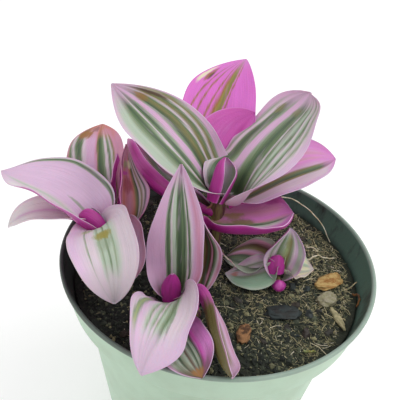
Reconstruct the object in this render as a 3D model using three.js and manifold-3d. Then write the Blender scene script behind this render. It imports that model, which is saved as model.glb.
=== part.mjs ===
// A striped trailing houseplant in a nursery pot with a deep collar.
// Frame: millimetres, +Z up, origin at the centre of the pot's underside, the photographed side facing -Y.
// Angles are degrees: azimuth 0 points along +X and 90 along +Y, and elevation is above the horizontal.
import * as THREE from 'three';
import { mergeVertices } from 'three/addons/utils/BufferGeometryUtils.js';
import Module from 'manifold-3d';

const wasm = await Module();
wasm.setup();

// Pot.
const POT_HEIGHT = 105;
const RIM_RADIUS = 60;
const COLLAR_FOOT_RADIUS = 57.3;
const COLLAR_HEIGHT = 14.3;
const WALL_TOP_RADIUS = 52.6;
const BASE_RADIUS = 43;
const WALL = 1.3;
const LIP_WIDTH = 1.4;
const LIP_HEIGHT = 1.6;
const FOOT_RECESS = 2;
const PAD_RADIUS = 13;
const FLOOR_TOP = 3.2;
const POT_SIDES = 48;

// Soil.
const CLEARANCE = 0.3;
const SOIL_TOP = 93.2;
const HOLE_FLOOR = 77.6;

// Leaves and stems.
const LEAF_THICKNESS = 0.8;
const EDGE_THICKNESS = 0.66;
const LEAF_END = 0.55;
const SHOULDER = 0.88;
const STATIONS = [0, 0.07, 0.16, 0.28, 0.42, 0.57, 0.72, 0.87, 1];
const FEW_STATIONS = [0, 0.1, 0.22, 0.38, 0.55, 0.72, 0.87, 1];
const WIDE_ACROSS = 6;
const NARROW_ACROSS = 4;
const WIDE_LEAF = 19;
const SPINE_STEPS = 60;
const STEM_FOOT = 78;
const STEM_SIDES = 10;
const ROOT_RADIUS = 0.5;

const degrees = (angle) => angle * Math.PI / 180;
const { cos, sin, exp, PI } = Math;

function leaf(at, az, el, length, width, form) {
  const plain = {
    roll: [0, 0], cup: [30, 30], tipCup: 30, clasp: 150, hold: 0.14, widest: 0.38, full: 1.35,
    foot: 0.62, neck: 0,
  };
  return { ...plain, at, az, el, length, width, ...form };
}

// Each leaf: foot of its midrib, azimuth and elevation at foot, middle and tip, length, greatest width.
// roll turns the blade about its midrib, cup is the bend of its left and right half across the blade,
// and near the foot the blade rolls round the stem to the clasp angle over the share called hold.
// widest is where along it the blade is widest, foot its share of that width there, full the bluntness.
const MAIN_LEAVES = {
  upperLeft: leaf([-4.6, 10.2, 118], [192, 167, 152], [79, 36, 26], 61.3, 30.8, {
    roll: [4, 43], cup: [36, 44], tipCup: 20, hold: 0.13,
    widest: 0.25, full: 1.39, foot: 0.39, clasp: 172, neck: 0.1,
  }),
  upperRight: leaf([5.5, 7.6, 122.4], [55.6, 55.3, 32.5], [96.3, 28.1, 56.6], 52.6, 38, {
    roll: [13, 27], cup: [-23, -15], tipCup: 34, hold: 0.19,
    widest: 0.65, full: 3.5, foot: 0.4, clasp: 151, neck: 0.09,
  }),
  back: leaf([-3, 9, 119], [92, 94, 50], [25, 33, 4], 80, 32, {
    roll: [4, 17], cup: [33, 7], tipCup: 12, hold: 0.14,
    widest: 0.44, full: 1.62, foot: 0.5, clasp: 160,
  }),
  between: leaf([-1, 8, 117], [120, 76, 20], [29, 41, 22], 46.7, 25.3, {
    roll: [-26, -50], cup: [-15, 25], tipCup: 2, hold: 0.14,
    widest: 0.48, full: 1.3, clasp: 140,
  }),
  right: leaf([0.4, 5, 120], [36, 33, 26], [30, 14, -12], 53.6, 25.5, {
    roll: [0, -27], cup: [24, 16], tipCup: 35, hold: 0.12,
    widest: 0.45, full: 1.7, clasp: 90,
  }),
  lowerRight: leaf([-4, 0.5, 114], [-18, -1, 8], [17, 13, 48], 32, 29, {
    roll: [-20, 5], cup: [21, 102], tipCup: 35, hold: 0.1,
    widest: 0.57, full: 4,
  }),
  lowerLeft: leaf([-4.2, 4, 116], [184, 134, 116], [20, 0, 38.5], 58.9, 24.8, {
    roll: [13, -48], cup: [154, 40], tipCup: 77, hold: 0.11,
    widest: 0.59, full: 2.23, foot: 0.3,
  }),
};

const LEFT_LEAVES = {
  upper: leaf([-48, -4.5, 108], [159, 176, 179], [74, 23, 9], 43, 29.5, {
    roll: [28, -7], cup: [93, 39], tipCup: 1, hold: 0.16,
    widest: 0.45, full: 1.5, foot: 0.45, clasp: 170, neck: 0.1,
  }),
  tongue: leaf([-44, -9, 110], [-82, -62, -68], [76, -18, -80], 42, 24, {
    roll: [-29, -6], cup: [35, 25], tipCup: 47, hold: 0.12,
    widest: 0.37, full: 1.5,
  }),
  lower: leaf([-47, -5, 108], [170, 187, 176], [46, -4, -56], 40.5, 13.5, {
    roll: [-9, 29], cup: [41, 37], tipCup: 35, hold: 0.17,
    widest: 0.41, full: 1.4,
  }),
  back: leaf([-47, 0.5, 106.5], [135, 99, 99], [52, 38, 19], 45.5, 23, {
    roll: [-6, 4], cup: [15, 45], tipCup: 20, hold: 0.16,
    widest: 0.6, full: 1.4, clasp: 110,
  }),
  edgeOn: leaf([-42.5, -3, 106], [96, 94, 97], [51, 46, 55], 31.5, 9, {
    roll: [-50, -65], cup: [30, 30], tipCup: 30, hold: 0.14,
    widest: 0.38, full: 1.4,
  }),
  inner: leaf([-35.2, -4.3, 105.5], [53, 114, 85], [82, 52, 68], 36.6, 16.3, {
    roll: [11, -64], cup: [69, 61], tipCup: 12, hold: 0.35,
    widest: 0.5, full: 0.7, foot: 0.52, clasp: 170,
  }),
  pink: leaf([-39.2, -7, 106], [-70, -60, -54], [61, -4, -53], 27, 21.5, {
    roll: [-30, -27], cup: [38, 20], tipCup: 37, hold: 0.16,
    widest: 0.32, full: 1.7, clasp: 100,
  }),
};

const FRONT_LEAVES = {
  upright: leaf([-14, -23, 96], [90, 94, 105], [72, 74, 63], 49.5, 21.5, {
    roll: [13, 4], cup: [28, 35], tipCup: 41, hold: 0.14,
    widest: 0.32, full: 1.1, foot: 0.45, clasp: 170, neck: 0.1,
  }),
  overRim: leaf([-12.9, -27, 95.3], [-106, -88, -122], [61, 24, -61], 47.4, 22.4, {
    roll: [-35, 35], cup: [90, 54], tipCup: 1, hold: 0.15,
    widest: 0.43, full: 1.6, foot: 0.6, clasp: 80,
  }),
  side: leaf([-6, -24.8, 97], [102, 104, 90], [33, 76, 78], 35.9, 21, {
    roll: [2, 33], cup: [2, 14], tipCup: 39, hold: 0.16,
    widest: 0.52, full: 1, foot: 0.3, clasp: 101,
  }),
  folded: leaf([-8.5, -30, 97.5], [-119, -69, -57], [14, 24, -19], 36.3, 16.4, {
    roll: [-18, -17], cup: [25, 26], tipCup: 40, hold: 0.12,
    widest: 0.6, full: 2.2, foot: 0.5, clasp: 120,
  }),
  foldedRight: leaf([-6, -29, 96.5], [-29, -71, -48], [118, -2, 16], 44, 12, {
    roll: [49, 49], cup: [33, 135], tipCup: 75, hold: 0.12,
    widest: 0.73, full: 2.9, clasp: 120,
  }),
};

const SMALL_LEAVES = {
  cup: leaf([24.6, -2.8, 97.3], [70, 59, 91], [108, 69, 58], 19.3, 18.8, {
    roll: [-30, -36], cup: [73, 71], tipCup: 79, hold: 0.19,
    widest: 0.4, full: 1.12, foot: 0.57, clasp: 170, neck: 0.1,
  }),
  left: leaf([22.8, -5, 102], [208, 182, 165], [-19, -23, -1], 20.5, 13.5, {
    roll: [35, 18], cup: [11, 15], tipCup: 27, hold: 0.11,
    widest: 0.34, full: 1.3,
  }),
  leftBehind: leaf([22.8, -2.6, 100.2], [157, 164, 172], [16, -20, -17], 22, 18.5, {
    roll: [23, -1], cup: [25, 23], tipCup: 24, hold: 0.16,
    widest: 0.34, full: 1.2,
  }),
  right: leaf([26, -4.5, 99.5], [26, 5, 7], [18, 2, 9], 12, 13.5, {
    roll: [-30, 6], cup: [50, 50], tipCup: 49, hold: 0.17,
    widest: 0.36, full: 1.7,
  }),
};

// Rolled young leaves, one in the heart of each leafy stem.
const rolled = { clasp: 168, hold: 3, cup: [168, 168], tipCup: 120, foot: 0.8, widest: 0.45, full: 2 };
const YOUNG = {
  main: leaf([-4.4, 3.6, 123], [62, 62, 62], [66, 64, 62], 16.5, 19.5, { ...rolled, roll: [-52, -52] }),
  left: leaf([-45.6, -7.3, 109.6], [165, 165, 165], [35, 22, 14], 9.5, 15, {
    ...rolled, roll: [-32, -32], tipCup: 110,
  }),
  front: leaf([-13.4, -28, 98.4], [110, 110, 110], [80, 78, 74], 12, 17, {
    ...rolled, roll: [180, 180], tipCup: 150, foot: 0.9, widest: 0.2, full: 1.2,
  }),
  small: leaf([23.6, -8.2, 100.4], [105, 105, 105], [64, 62, 60], 7.5, 17.5, {
    ...rolled, roll: [180, 180], tipCup: 150, foot: 0.85, widest: 0.3, full: 1.4,
  }),
};

// The small shoot's second bud, and the short stalk that carries it.
const BUD_SIZE = [6.6, 6, 4.8];
const BUD_AT = [24.7, -9.8, 93.9];
const BUD_STALK = { path: [[23.5, -2.6, 97.6], [24.1, -5.6, 97.4], [24.7, -9.2, 96.4]], radii: [1.4, 1.4] };

// Stems: points along the axis and the radius at the foot and at the heart.
const STEMS = {
  main: { path: [[-2, 2, STEM_FOOT], [-2, 2, 100], [-1.8, 3.4, 113], [-2.2, 5, 125]], radii: [2.6, 2.8] },
  left: {
    path: [[-29, 0, STEM_FOOT], [-32, -2, 94], [-37, -4, 103], [-46, -5.5, 108.5], [-49, -4.5, 112]],
    radii: [2.4, 2.6],
  },
  front: { path: [[-4, -24, STEM_FOOT], [-5, -26, 92], [-8, -29, 96], [-13, -30, 99]], radii: [2.4, 2.6] },
  small: { path: [[22, 2, STEM_FOOT], [22, 2, 92], [23.4, -1.8, 97], [24, -5.6, 100.8]], radii: [1.8, 2] },
};

const AERIAL_ROOT = [
  [3.5, 9.5, 113], [13, 20, 114.5], [25, 28, 112], [34, 30.6, 108], [43, 27.2, 102], [49, 24, 94.1],
];

const COLOURS = {
  pot: [0xa9c4ae, 0.62],
  soil: [0x2b2119, 0.96],
  leaves: [0xb9a3a8, 0.5],
  root: [0xd8d2bd, 0.7],
};

function solidFromGeometry(geometry) {
  const bare = geometry.clone();
  bare.deleteAttribute('normal');
  bare.deleteAttribute('uv');
  const merged = mergeVertices(bare, 1e-4);
  const mesh = new wasm.Mesh({
    numProp: 3,
    vertProperties: new Float32Array(merged.attributes.position.array),
    triVerts: new Uint32Array(merged.index.array),
  });
  return new wasm.Manifold(mesh);
}

function geometryFromSolid(solid) {
  const mesh = solid.getMesh();
  const geometry = new THREE.BufferGeometry();
  geometry.setAttribute('position', new THREE.BufferAttribute(new Float32Array(mesh.vertProperties), 3));
  geometry.setIndex(new THREE.BufferAttribute(new Uint32Array(mesh.triVerts), 1));
  return geometry;
}

function geometryFromRings(rings) {
  // Closed loops of equal length, joined in order and shut by a fan at each end.
  const count = rings[0].length;
  const points = rings.flat();
  const first = centre(rings[0]);
  const last = centre(rings[rings.length - 1]);
  const index = [];
  for (let ring = 0; ring + 1 < rings.length; ring += 1) {
    for (let side = 0; side < count; side += 1) {
      const a = ring * count + side;
      const b = ring * count + (side + 1) % count;
      index.push(a, b, b + count, a, b + count, a + count);
    }
  }
  const foot = points.length;
  const top = foot + 1;
  const lastRing = (rings.length - 1) * count;
  for (let side = 0; side < count; side += 1) {
    const next = (side + 1) % count;
    index.push(foot, next, side, top, lastRing + side, lastRing + next);
  }
  const geometry = new THREE.BufferGeometry();
  const all = [...points, first, last];
  geometry.setAttribute('position', new THREE.Float32BufferAttribute(all.flat(), 3));
  geometry.setIndex(index);
  return geometry;
}

function centre(points) {
  const sum = [0, 0, 0];
  for (const point of points) {
    for (let k = 0; k < 3; k += 1) sum[k] += point[k] / points.length;
  }
  return sum;
}

function facedOut(geometry) {
  // Turns every triangle over if the closed surface is inside out.
  const position = geometry.attributes.position;
  const index = geometry.index.array;
  const [a, b, c] = [new THREE.Vector3(), new THREE.Vector3(), new THREE.Vector3()];
  let volume = 0;
  for (let i = 0; i < index.length; i += 3) {
    a.fromBufferAttribute(position, index[i]);
    b.fromBufferAttribute(position, index[i + 1]);
    c.fromBufferAttribute(position, index[i + 2]);
    volume += a.dot(b.cross(c));
  }
  if (volume < 0) {
    for (let i = 0; i < index.length; i += 3) {
      [index[i + 1], index[i + 2]] = [index[i + 2], index[i + 1]];
    }
  }
  return geometry;
}

function through(values, s) {
  // The curve through three values at s = 0, 0.5 and 1.
  const [a, b, c] = values;
  return a + (4 * b - 3 * a - c) * s + (2 * a + 2 * c - 4 * b) * s * s;
}

function widthShare(form, s) {
  if (s < form.widest) {
    if (form.neck === 0) return form.foot + (1 - form.foot) * sin(PI / 2 * s / form.widest);
    const flare = sin(PI / 2 * Math.min(1, s / form.neck));
    const swell = sin(PI / 2 * Math.max(0, (s - form.neck) / (form.widest - form.neck)));
    return form.foot + (SHOULDER - form.foot) * flare + (1 - SHOULDER) * swell;
  }
  const t = (s - form.widest) / (1 - form.widest);
  return Math.max(0, cos(PI / 2 * t ** form.full)) ** 0.9;
}

function heading(form, s) {
  const az = degrees(through(form.az, s));
  const el = degrees(through(form.el, s));
  return new THREE.Vector3(cos(el) * cos(az), cos(el) * sin(az), sin(el));
}

function bladeFrame(form, s) {
  // Along the midrib, to the right across the blade, and up out of its upper face.
  const az = degrees(through(form.az, s));
  const along = heading(form, s);
  const flat = new THREE.Vector3(sin(az), -cos(az), 0);
  const raised = flat.clone().cross(along);
  const roll = degrees(form.roll[0] + (form.roll[1] - form.roll[0]) * s);
  const right = flat.clone().multiplyScalar(cos(roll)).addScaledVector(raised, sin(roll));
  const up = raised.clone().multiplyScalar(cos(roll)).addScaledVector(flat, -sin(roll));
  return { along, right, up };
}

function midribPoint(form, s) {
  const point = new THREE.Vector3(...form.at);
  const steps = Math.round(s * SPINE_STEPS);
  const step = form.length / SPINE_STEPS;
  for (let i = 0; i < steps; i += 1) {
    point.addScaledVector(heading(form, (i + 0.5) / SPINE_STEPS), step);
  }
  return point.addScaledVector(heading(form, s), (s * SPINE_STEPS - steps) * step);
}

function halfWidth(form, s) {
  return Math.max(LEAF_END, form.width / 2 * widthShare(form, s));
}

function bend(form, s, u) {
  // Angle of the blade's cross section from midrib to margin.
  const side = u < 0 ? form.cup[0] : form.cup[1];
  const hold = exp(-((s / form.hold) ** 2));
  const angle = side + (form.tipCup - side) * s * s + (form.clasp - side) * hold;
  return degrees(Math.abs(angle) < 0.5 ? 0.5 : angle);
}

function bladePoint(form, s, u) {
  const { right, up } = bladeFrame(form, s);
  const angle = bend(form, s, u);
  const radius = halfWidth(form, s) / angle;
  const turn = angle * Math.abs(u);
  const side = Math.sign(u);
  const face = midribPoint(form, s)
    .addScaledVector(right, side * radius * sin(turn))
    .addScaledVector(up, radius * (1 - cos(turn)));
  const normal = up.clone().multiplyScalar(cos(turn)).addScaledVector(right, -side * sin(turn));
  const thickness = LEAF_THICKNESS + (EDGE_THICKNESS - LEAF_THICKNESS) * u * u;
  return { face, back: face.clone().addScaledVector(normal, -thickness) };
}

function bladeGeometry(form) {
  // Each ring runs over the upper face from left to right and back along the underside.
  const across = form.width > WIDE_LEAF || form.clasp > 165 ? WIDE_ACROSS : NARROW_ACROSS;
  const stations = form.length > 25 ? STATIONS : FEW_STATIONS;
  const rings = stations.map((s) => {
    const faces = [];
    const backs = [];
    for (let i = 0; i <= across; i += 1) {
      const { face, back } = bladePoint(form, s, 2 * i / across - 1);
      faces.push(face.toArray());
      backs.push(back.toArray());
    }
    return [...faces, ...backs.reverse()];
  });
  const count = rings[0].length;
  const index = [];
  const at = (ring, i) => ring * count + i;
  const under = (i) => count - 1 - i;
  for (let ring = 0; ring + 1 < rings.length; ring += 1) {
    for (let i = 0; i < across; i += 1) {
      index.push(at(ring, i), at(ring, i + 1), at(ring + 1, i + 1));
      index.push(at(ring, i), at(ring + 1, i + 1), at(ring + 1, i));
      const [p, q] = [under(i), under(i + 1)];
      index.push(at(ring, p), at(ring + 1, q), at(ring, q));
      index.push(at(ring, p), at(ring + 1, p), at(ring + 1, q));
    }
    for (const [i, j] of [[across, across + 1], [count - 1, 0]]) {
      index.push(at(ring, i), at(ring, j), at(ring + 1, j));
      index.push(at(ring, i), at(ring + 1, j), at(ring + 1, i));
    }
  }
  for (let i = 0; i < across; i += 1) {
    const [p, q] = [under(i), under(i + 1)];
    const end = rings.length - 1;
    index.push(at(0, i), at(0, q), at(0, i + 1), at(0, i), at(0, p), at(0, q));
    index.push(at(end, i), at(end, i + 1), at(end, q), at(end, i), at(end, q), at(end, p));
  }
  const geometry = new THREE.BufferGeometry();
  geometry.setAttribute('position', new THREE.Float32BufferAttribute(rings.flat(2), 3));
  geometry.setIndex(index);
  return facedOut(geometry);
}

function tubeGeometry(path, radii, steps, sides) {
  const curve = new THREE.CatmullRomCurve3(path.map((point) => new THREE.Vector3(...point)));
  const frames = curve.computeFrenetFrames(steps, false);
  const rings = [];
  for (let i = 0; i <= steps; i += 1) {
    const middle = curve.getPointAt(i / steps);
    const radius = radii[0] + (radii[1] - radii[0]) * i / steps;
    const ring = [];
    for (let side = 0; side < sides; side += 1) {
      const turn = 2 * PI * side / sides;
      const point = middle.clone()
        .addScaledVector(frames.normals[i], radius * cos(turn))
        .addScaledVector(frames.binormals[i], radius * sin(turn));
      ring.push(point.toArray());
    }
    rings.push(ring);
  }
  return facedOut(geometryFromRings(rings));
}

function potGeometry() {
  const collarFoot = POT_HEIGHT - COLLAR_HEIGHT;
  const ledge = collarFoot + WALL;
  const profile = [
    [0, 0],
    [PAD_RADIUS, 0],
    [PAD_RADIUS + 1.5, FOOT_RECESS],
    [BASE_RADIUS - 4, FOOT_RECESS],
    [BASE_RADIUS - 2.5, 0],
    [BASE_RADIUS, 0],
    [WALL_TOP_RADIUS, collarFoot],
    [COLLAR_FOOT_RADIUS, collarFoot],
    [RIM_RADIUS - 0.6, POT_HEIGHT - LIP_HEIGHT],
    [RIM_RADIUS, POT_HEIGHT - LIP_HEIGHT + 0.5],
    [RIM_RADIUS - 0.3, POT_HEIGHT],
    [RIM_RADIUS - LIP_WIDTH, POT_HEIGHT],
    [RIM_RADIUS - LIP_WIDTH - 0.3, POT_HEIGHT - LIP_HEIGHT],
    [COLLAR_FOOT_RADIUS - WALL, ledge],
    [WALL_TOP_RADIUS - WALL, ledge],
    [BASE_RADIUS - WALL, FLOOR_TOP],
    [0, FLOOR_TOP],
  ];
  return lathe(profile, POT_SIDES);
}

function soilProfile() {
  const ledge = POT_HEIGHT - COLLAR_HEIGHT + WALL;
  const collarInner = COLLAR_FOOT_RADIUS - WALL;
  return [
    [0, FLOOR_TOP + CLEARANCE],
    [BASE_RADIUS - WALL - 0.5, FLOOR_TOP + CLEARANCE],
    [WALL_TOP_RADIUS - WALL - CLEARANCE - 0.15, ledge + CLEARANCE],
    [collarInner - CLEARANCE - 0.05, ledge + CLEARANCE],
    [collarInner - CLEARANCE - 0.05, SOIL_TOP],
    [0, SOIL_TOP],
  ];
}

function lathe(profile, sides) {
  // LatheGeometry turns about +Y, so it is tipped up to turn about +Z.
  const points = profile.map(([radius, height]) => new THREE.Vector2(radius, height));
  return new THREE.LatheGeometry(points, sides).rotateX(PI / 2);
}

function soilGeometry() {
  let solid = solidFromGeometry(facedOut(merge(lathe(soilProfile(), POT_SIDES))));
  for (const { path, radii } of Object.values(STEMS)) {
    const [foot, ...rest] = path;
    const low = [[foot[0], foot[1], HOLE_FLOOR], ...rest];
    const wide = radii.map((radius) => radius + 0.45);
    solid = solid.subtract(solidFromGeometry(tubeGeometry(low, wide, 12, STEM_SIDES)));
  }
  return geometryFromSolid(solid);
}

function merge(geometry) {
  const bare = geometry.clone();
  bare.deleteAttribute('normal');
  bare.deleteAttribute('uv');
  return mergeVertices(bare, 1e-4);
}

function lumpGeometry(size, seed, detail) {
  // A weathered crumb: an icosahedron pushed in and out by a seeded rule, flat where it lies.
  const geometry = merge(new THREE.IcosahedronGeometry(1, detail));
  const position = geometry.attributes.position;
  const point = new THREE.Vector3();
  for (let i = 0; i < position.count; i += 1) {
    point.fromBufferAttribute(position, i);
    const bumps = sin(3.1 * point.x + seed) * sin(2.7 * point.y + 2 * seed) * cos(2.3 * point.z - seed);
    point.multiplyScalar(1 + 0.22 * bumps);
    const rise = Math.max(point.z, -0.45) + 0.45;
    position.setXYZ(i, point.x * size[0] / 2, point.y * size[1] / 2, rise * size[2]);
  }
  return facedOut(geometry);
}

function outerShell(solid) {
  // The biggest body alone, so a hollow that the joined leaves shut off is filled.
  const bodies = solid.decompose();
  return bodies.reduce((best, body) => (body.volume() > best.volume() ? body : best));
}

function leafyStem(stem, leaves, youngLeaf, extras = []) {
  let solid = solidFromGeometry(tubeGeometry(stem.path, stem.radii, 12, STEM_SIDES));
  for (const form of [...Object.values(leaves), youngLeaf]) {
    solid = solid.add(solidFromGeometry(bladeGeometry(form)));
  }
  for (const extra of extras) solid = solid.add(solidFromGeometry(extra));
  return geometryFromSolid(outerShell(solid));
}

const part = new THREE.Group();

function place(name, geometry, [colour, roughness], position = [0, 0, 0], turn = 0) {
  const material = new THREE.MeshStandardMaterial({ color: colour, roughness, metalness: 0 });
  const mesh = new THREE.Mesh(geometry, material);
  mesh.name = name;
  mesh.position.set(...position);
  mesh.rotation.z = degrees(turn);
  part.add(mesh);
}

place('pot', facedOut(merge(potGeometry())), COLOURS.pot);
place('soil', soilGeometry(), COLOURS.soil);
place('leafy_stem_main', leafyStem(STEMS.main, MAIN_LEAVES, YOUNG.main), COLOURS.leaves);
place('leafy_stem_left', leafyStem(STEMS.left, LEFT_LEAVES, YOUNG.left), COLOURS.leaves);
place('leafy_stem_front', leafyStem(STEMS.front, FRONT_LEAVES, YOUNG.front), COLOURS.leaves);
const bud = lumpGeometry(BUD_SIZE, 1.2, 1).translate(...BUD_AT);
const budStalk = tubeGeometry(BUD_STALK.path, BUD_STALK.radii, 4, STEM_SIDES);
place('leafy_stem_small', leafyStem(STEMS.small, SMALL_LEAVES, YOUNG.small, [bud, budStalk]), COLOURS.leaves);
place('aerial_root', tubeGeometry(AERIAL_ROOT, [ROOT_RADIUS, ROOT_RADIUS], 18, 6), COLOURS.root);

const rest = SOIL_TOP + CLEARANCE;
place('bark_orange', lumpGeometry([13, 7, 2.6], 2.1, 1), [0xb9774a, 0.85], [44.8, -2.6, rest], 36);
place('stone_grey', lumpGeometry([8, 6, 2.6], 0.4, 1), [0x8f8a7c, 0.8], [43.2, -12.2, rest], 40);
place('bark_dark', lumpGeometry([13, 7, 2.2], 3.3, 1), [0x2c2825, 0.7], [26.2, -21.5, rest], 8);
place('bark_brown', lumpGeometry([5.4, 8.4, 2.2], 1.7, 1), [0x8f5a34, 0.85], [12.2, -33.5, rest], -12);
place('splinter_pale', lumpGeometry([2.6, 10, 1.8], 2.6, 1), [0xb9a27e, 0.8], [46, -20.5, rest], 22);

export default part;
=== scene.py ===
"""Looks of a striped trailing houseplant in a nursery pot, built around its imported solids.

Lengths are written in millimetres, in the frame of the solids: +Z up, the origin under the pot's
middle, and the photographed side towards -Y. Angles are degrees.
"""

from __future__ import annotations

import logging
import math
from dataclasses import dataclass
from enum import Enum

import bpy
import numpy as np
from mathutils import Matrix, Vector, noise


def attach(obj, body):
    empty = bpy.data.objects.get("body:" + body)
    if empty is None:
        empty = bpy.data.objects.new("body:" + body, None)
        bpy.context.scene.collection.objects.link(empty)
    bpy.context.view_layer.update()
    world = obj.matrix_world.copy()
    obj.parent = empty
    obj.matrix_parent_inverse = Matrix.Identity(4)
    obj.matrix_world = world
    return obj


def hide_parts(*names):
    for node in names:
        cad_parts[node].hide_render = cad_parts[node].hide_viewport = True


MM = 0.001
SHOULDER = 0.88
BITS_LEVEL = 93.4
log = logging.getLogger("plant")


class Tone(Enum):
    """Colours of the plant, the pot and the mix, as 8-bit display values."""

    MAUVE = (202, 162, 194)
    LILAC = (206, 176, 204)
    PALE = (202, 186, 196)
    MIST = (170, 184, 166)
    SILVER = (216, 208, 210)
    SAGE = (132, 146, 120)
    LEAF = (90, 112, 74)
    DEEP = (56, 80, 52)
    OLIVE = (120, 114, 66)
    MOSS = (140, 130, 46)
    KHAKI = (96, 90, 44)
    LIME = (150, 164, 112)
    JADE = (140, 170, 144)
    CREAM = (222, 220, 182)
    ORCHID = (206, 126, 194)
    VIVID = (208, 104, 194)
    MAGENTA = (172, 42, 140)
    FUCHSIA = (194, 76, 168)
    PLUM = (104, 24, 78)
    WINE = (70, 20, 50)
    ROSE = (196, 136, 162)
    SALMON = (194, 120, 106)
    BLUSH = (158, 80, 88)
    OCHRE = (146, 98, 44)
    BROWN = (78, 52, 32)
    UMBER = (46, 32, 24)
    BLACK_EARTH = (22, 24, 21)
    EARTH = (38, 43, 37)
    LOAM = (70, 76, 60)
    TAN = (136, 132, 98)
    STRAW = (190, 178, 138)
    BONE = (226, 218, 196)
    BARK = (150, 108, 70)
    HONEY = (186, 158, 100)
    SLATE = (32, 44, 44)
    STONE = (158, 152, 130)
    MINT = (176, 202, 178)
    RIM = (50, 54, 53)
    RIM_PALE = (140, 158, 146)
    POT_DARK = (58, 64, 61)
    POT_SHADE = (84, 112, 100)
    WHITE = (253, 253, 253)
    FLOOR = (222, 222, 222)

    def linear(self) -> tuple[float, float, float, float]:
        """Returns the colour as the renderer's linear RGBA."""
        parts = [part / 255 for part in self.value]
        light = [p / 12.92 if p <= 0.04045 else ((p + 0.055) / 1.055) ** 2.4 for p in parts]
        return (light[0], light[1], light[2], 1.0)


class Wire:
    """A shader socket that takes part in sums as a number does."""

    def __init__(self, net: "Net", socket: bpy.types.NodeSocket) -> None:
        """Wraps a socket.

        Args:
            net: the material that the socket is in.
            socket: the output socket.
        """
        self.net = net
        self.socket = socket

    def __add__(self, other: "Wire | float") -> "Wire":
        """Returns the sum."""
        return self.net.maths("ADD", self, other)

    __radd__ = __add__

    def __mul__(self, other: "Wire | float") -> "Wire":
        """Returns the product."""
        return self.net.maths("MULTIPLY", self, other)

    __rmul__ = __mul__

    def __sub__(self, other: "Wire | float") -> "Wire":
        """Returns the difference."""
        return self.net.maths("SUBTRACT", self, other)

    def __rsub__(self, other: float) -> "Wire":
        """Returns the other minus this."""
        return self.net.maths("SUBTRACT", other, self)

    def __truediv__(self, other: "Wire | float") -> "Wire":
        """Returns the quotient."""
        return self.net.maths("DIVIDE", self, other)


class Tree:
    """A node tree and the one way in which its nodes are made."""

    def __init__(self, tree: bpy.types.NodeTree) -> None:
        """Takes the tree and empties it."""
        self.tree = tree
        tree.nodes.clear()

    def node(self, kind: str, settings: dict | None = None, values: dict | None = None) -> bpy.types.Node:
        """Makes one node.

        Args:
            kind: the node's type name.
            settings: its own properties, set first; "stops" fills a ramp.
            values: numbers, colours, sockets or wires for its inputs, by name or number.

        Returns:
            The node.
        """
        node = self.tree.nodes.new(kind)
        for key, value in (settings or {}).items():
            if key == "stops":
                self.fill(node.color_ramp, value)
            else:
                setattr(node, key, value)
        for key, value in (values or {}).items():
            socket = node.inputs[key]
            source = value.socket if isinstance(value, Wire) else value
            if isinstance(source, bpy.types.NodeSocket):
                self.tree.links.new(source, socket)
            else:
                socket.default_value = source
        return node

    @staticmethod
    def fill(ramp: bpy.types.ColorRamp, stops: list[tuple[float, Tone]]) -> None:
        """Writes a ramp's stops.

        Args:
            ramp: the ramp, whose own stops are removed.
            stops: places from 0 to 1 in rising order, each with its tone.
        """
        while len(ramp.elements) > 1:
            ramp.elements.remove(ramp.elements[0])
        for number, (place, tone) in enumerate(stops):
            stop = ramp.elements[0] if number == 0 else ramp.elements.new(place)
            stop.position = place
            stop.color = tone.linear()


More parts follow.
